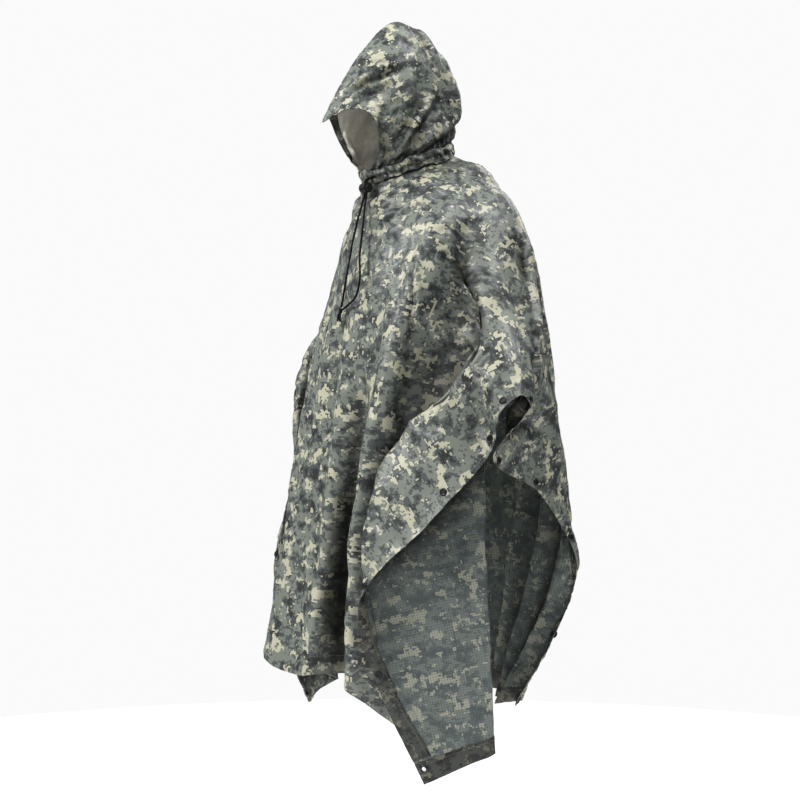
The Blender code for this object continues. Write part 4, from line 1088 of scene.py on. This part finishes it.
def cut_hole(points, normals, node):
    """Draws the grid in round the place of a grommet, and says where that is."""
    i, j = nearest(points, node)
    i = min(max(i, 2), len(points) - 3)
    j = min(j, points.shape[1] - 3)
    centre, normal = points[i, j], normals[i, j]
    for at in around(i - 1, j - 1, i + 1, j + 1):
        way = points[at] - centre
        points[at] = centre + CUT_HOLE * unit(way - (way @ normal) * normal)
    return i, j


# Profiles of the turned pieces: (radius, height) above the cloth.
R = SNAP_RADIUS
CAP = [(0.0, 0.0), (R, 0.0), (R + 0.0002, 0.0008), (R - 0.0006, 0.0018), (R * 0.78, 0.0026),
       (R * 0.62, 0.0024), (R * 0.52, 0.0017), (R * 0.30, 0.0016), (0.0, 0.0018)]
SOCKET = [(0.0, 0.0), (R, 0.0), (R, 0.0012), (R * 0.80, 0.0026), (R * 0.55, 0.0026),
          (R * 0.42, 0.0012), (0.0, 0.0010)]
EYELET = [(GROMMET_HOLE, -0.0010), (GROMMET_HOLE, 0.0010), (GROMMET_HOLE + 0.0012, 0.0019),
          (GROMMET_RADIUS - 0.0014, 0.0014), (GROMMET_RADIUS, 0.0), (GROMMET_RADIUS - 0.0010, -0.0002)]


def dress_panel(name, panel):
    points, normals, strip, row = panel.points, panel.normals, panel.strip, panel.strip_row
    prints = panel.prints + (0.0, 0.0 if panel.front else BACK_PRINT)
    last = len(points) - 1
    holes = [cut_hole(points, normals, f"{name}_{side}_grommet_outer") for side in ("left", "right")]
    cloth = shell(f"{name}_cloth", points, inner_wall(points, normals), prints, [OUTER, INNER],
                  panel.front, holes)
    finish_piece(cloth, "outer_cloth", f"{name}_panel")
    top = points - (CLOTH + GAP) * normals
    low = top - FACING_CLOTH * normals
    for end, node, span, cuts in (
            ("right_facing", "right_edge_facing", np.s_[:strip + 1, :row], ()),
            ("left_facing", "left_edge_facing", np.s_[last - strip:, :row], ()),
            ("hem", "hem_facing", np.s_[:, row:], [(i, j - row) for i, j in holes])):
        made = shell(f"{name}_{end}", top[span], low[span], prints[span], [STRIP, STRIP], panel.front, cuts)
        finish_piece(made, "facing_cloth", f"{name}_{node}")
    spans = [(points, 1.0, np.s_[i, 1:]) for i in (strip, last - strip, 1, last - 1)]
    spans += [(points, 1.0, np.s_[:, j]) for j in (row, points.shape[1] - 2)]
    spans += [(low, -1.0, np.s_[i, 1:row]) for i in (strip - 1, last - strip + 1)]
    spans.append((low, -1.0, np.s_[:, row + 1]))
    stitches(f"{name}_stitching", [(layer[span] + way * LIFT * normals[span],
                                                  way * normals[span]) for layer, way, span in spans])
    for side, hole in zip(("left", "right"), holes):
        fittings = [(f"eyelet_{face}", EYELET, GROMMET, "dark_grommet", f"grommet_{face}", layer, way)
                    for face, layer, way in (("outer", points, 1.0), ("inner", low, -1.0))]
        for number in range(1, 6):
            for kind, profile, layer, way in (("cap", CAP, points, 1.0), ("socket", SOCKET, low, -1.0)):
                fittings.append((f"{kind}_{number}", profile, SNAP, "black_snap",
                                 f"snap_{kind}_{number}", layer, way))
        for end, profile, look, slot, node, layer, way in fittings:
            node = f"{name}_{side}_{node}"
            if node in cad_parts:
                at = hole if look is GROMMET else nearest(points, node)
                made = lathe(f"{name}_{side}_{end}", profile, look,
                             layer[at] + way * LIFT * normals[at], way * normals[at])
                finish_piece(made, slot, node)


# ---------------------------------------------------------------- hood and neck
def hood_points():
    height = CASING_HEIGHT + 2 * GAP
    pulls = [(neck_ring(ring, height), metres(side), metres(crown), (GAP / 2, *metres(seam)))
             for _, ring, side, crown, seam in HOOD_ARCHES]
    pulls.append(tuple(neck_ring(HOOD_END, height)))
    ups = np.linspace(0.0, 1.0, HOOD_CELLS[0] + 1)[:, None]
    arches = []
    for pull in pulls:
        foot, side, crown, seam = (np.array(point) for point in pull)
        arches.append((1 - ups) ** 3 * foot + 3 * ups * (1 - ups) ** 2 * side
                      + 3 * ups**2 * (1 - ups) * crown + ups**3 * seam)
    places = np.linspace(0.0, len(pulls) - 1.0, HOOD_CELLS[1] + 1)
    return np.array([smooth_curve(row, places) for row in np.array(arches).transpose(1, 0, 2)])


def lengths_along(points, axis):
    """Length along a grid from its first row or column."""
    steps = np.linalg.norm(np.diff(points, axis=axis), axis=2)
    return np.insert(np.cumsum(steps, axis=axis), 0, 0.0, axis=axis)


def clamp_to_middle(wall):
    """Keeps a half's seam and its last arch on its own side of the middle."""
    wall[-1, :, 0] = GAP / 2
    wall[:, -1, 0] = np.maximum(wall[:, -1, 0], GAP / 2)


def add_hood():
    """Two halves that meet at the middle seam; returns their outer sides and normals."""
    base = hood_points()
    turned = unit(np.cross(np.gradient(base, axis=1), np.gradient(base, axis=0)))
    for border in (np.s_[0, :], np.s_[:, -1]):
        reach = base[border] - NECK_CENTRE
        turned[border] = unit(reach - (reach @ NECK_UP)[:, None] * NECK_UP)
    rise, round_neck = lengths_along(base, 0), lengths_along(base, 1)
    laid = flatten(base, np.stack((round_neck, rise), axis=2))
    to_seam = rise[-1] - rise
    ease = np.clip(rise / HOOD_FADE[0], 0.0, 1.0) * np.clip(to_seam / HOOD_FADE[1], 0.0, 1.0)
    height, length, reach = HOOD_GATHER
    gathered = height * np.exp(-rise / reach) * np.clip(rise / HOOD_FADE[2], 0.0, 1.0)
    seam = HOOD_SEAM[0] * np.exp(-0.5 * (to_seam / HOOD_SEAM[1]) ** 2)
    layers = []
    for side, sign, seed in HOOD_SIDES:
        amount = ease * crease_field(base, HOOD_CREASES[side], HOOD_CREASE_ENDS)
        amount += ease * HOOD_COARSE[0] * crumple(round_neck, rise, seed, HOOD_COARSE[1])
        amount += ease * HOOD_FINE[0] * crumple(round_neck, rise, seed + 7, HOOD_FINE[1])
        uneven = 3.0 * ripples(round_neck, rise, seed, 0.1)
        amount += gathered * np.sin(2 * math.pi * round_neck / length + uneven)
        amount = amount * share_free(base, turned, amount)
        points = base + (amount + seam)[..., None] * turned
        clamp_to_middle(points)
        inner = points - CLOTH * turned
        clamp_to_middle(inner)
        mirror = np.array((sign, 1.0, 1.0))
        prints = laid * (sign, 1.0) + (2.0, 9.0)
        made = shell(f"hood_{side}_cloth", points * mirror, inner * mirror, prints, [OUTER, LINING], sign > 0)
        finish_piece(made, "outer_cloth", f"hood_{side}")
        paths = [(points[span] * mirror, turned[span] * mirror)
                 for span in (np.s_[HOOD_CELLS[0] - 3], np.s_[:, HOOD_HEM])]
        thread = stitches(f"hood_{side}_stitching", paths)
        brim = np.s_[:, :HOOD_HEM + 1]
        hem_out = inner[brim] - GAP * turned[brim]
        hem_in = hem_out - FACING_CLOTH * turned[brim]
        hem_out[-1, :, 0] = hem_in[-1, :, 0] = GAP / 2
        band = shell(f"hood_{side}_brim_facing", hem_out * mirror, hem_in * mirror, prints[brim],
                     [STRIP, STRIP], sign > 0)
        finish_piece(band, "facing_cloth")
        layers.append((points * mirror, turned * mirror))
    return layers


def add_casing(layers):
    """The drawcord tunnel round the neck: bunched cloth in slanting folds, drawn uneven by the cord."""
    steps, rise = CASING_CELLS
    degrees = np.arange(steps) * 360.0 / steps
    degrees, height = np.meshgrid(degrees, np.linspace(0.0, 1.0, rise), indexing="ij")
    turn = np.radians(degrees)
    chance = np.random.default_rng(17)
    folds = np.zeros(turn.shape)
    for count, slant, size in CASING_FOLDS:
        folds += size * np.sin(count * turn + slant * height + chance.uniform(0.0, 6.28))
    edges = []
    for edge, *waves in CASING_EDGES:
        for size, count, phase in waves:
            edge = edge + size * np.sin(count * turn + phase)
        edges.append(edge)
    up = edges[0] + (edges[1] - edges[0]) * height
    over = np.clip(np.minimum(height, 1.0 - height) / CASING_TURN, 0.0, 1.0)
    outer_in, inner_in = CASING_INSET
    own = np.clip(up, outer_in, CASING_HEIGHT - outer_in)
    up = own + (up - own) * over * over * (3.0 - 2.0 * over)
    bulge = np.sin(math.pi * height) ** 0.6
    waist = np.exp(-0.5 * ((height - CASING_WAIST[0]) / CASING_WAIST[1]) ** 2)
    out = CASING_OUT * bulge + folds * (0.35 + 0.65 * bulge) - CASING_DRAWN * waist
    out = out - CASING_EDGE_IN * (1.0 - bulge)
    out = out * over * over - CASING_TUCK * (1.0 - over * over)
    outer = lay_clear(neck_ring(degrees, up, out), 2 * layers, LAY_CLEAR + LAY_TOP * over * over)
    inner = neck_ring(degrees, np.clip(up, inner_in, CASING_HEIGHT - inner_in), -CASING_DEPTH / 2)
    length = math.pi * (NECK_RADIUS_X + NECK_RADIUS_Y)
    number = np.arange(steps * rise).reshape(steps, rise)
    ahead = np.roll(number, -1, axis=0)
    quads = np.stack((number[:, :-1], number[:, 1:], ahead[:, 1:], ahead[:, :-1]), axis=2).reshape(-1, 4)
    faces = [quads, quads[:, ::-1] + steps * rise]
    for row, way in ((0, 1), (rise - 1, -1)):
        here, there = number[:, row], ahead[:, row]
        faces.append(np.stack((here, there, there + steps * rise, here + steps * rise), axis=1)[:, ::way])
    prints = np.stack((length * turn / (2 * math.pi) + 6.0 + 0.3 * up, 1.2 * up), axis=2).reshape(-1, 2)
    made = new_object("casing_cloth", np.concatenate((outer.reshape(-1, 3), inner.reshape(-1, 3))),
                      np.concatenate(faces).tolist(), [OUTER], None, np.concatenate((prints, prints)), 0.0)
    finish_piece(made, "outer_cloth", "neck_casing")
    add_nape_loop()


def add_nape_loop():
    """A narrow folded tape that stands off the casing at the nape."""
    across, along = LOOP_CELLS
    share = np.linspace(0.0, 1.0, across)
    angles = np.radians(np.linspace(-90.0, 90.0, along))
    walls = []
    for radius in (LOOP_RADIUS, LOOP_RADIUS - LOOP_TAPE):
        out = CASING_DEPTH / 2 + 2.5 * GAP + 0.9 * radius * np.cos(angles)
        ring = neck_ring(180.0, CASING_HEIGHT / 2 + radius * np.sin(angles), out)
        walls.append(ring[None] + LOOP_WIDTH * (share - 0.5)[:, None, None] * NECK_SIDE)
    prints = np.stack(np.meshgrid(LOOP_WIDTH * share + 1.0, np.linspace(0.0, LOOP_LENGTH, along) + 2.0,
                                  indexing="ij"), axis=2)
    made = shell("nape_tape", *walls, prints, [STRIP, STRIP], False)
    return finish_piece(made, "facing_cloth", "nape_loop")


# ---------------------------------------------------------------- dress
set_stage()
add_cords()
front = FineSheet(folds_of(FRONT_LEFT), folds_of(FRONT_RIGHT), True)
back = FineSheet(folds_of(BACK_LEFT), back_right_folds(), False)
fold_panel("front", front)
fold_panel("back", back)
join_shoulders(front, back)
dress_panel("front", front)
dress_panel("back", back)
hood_layers = add_hood()
add_casing([(front.points, front.normals), (back.points, back.normals)] + hood_layers)
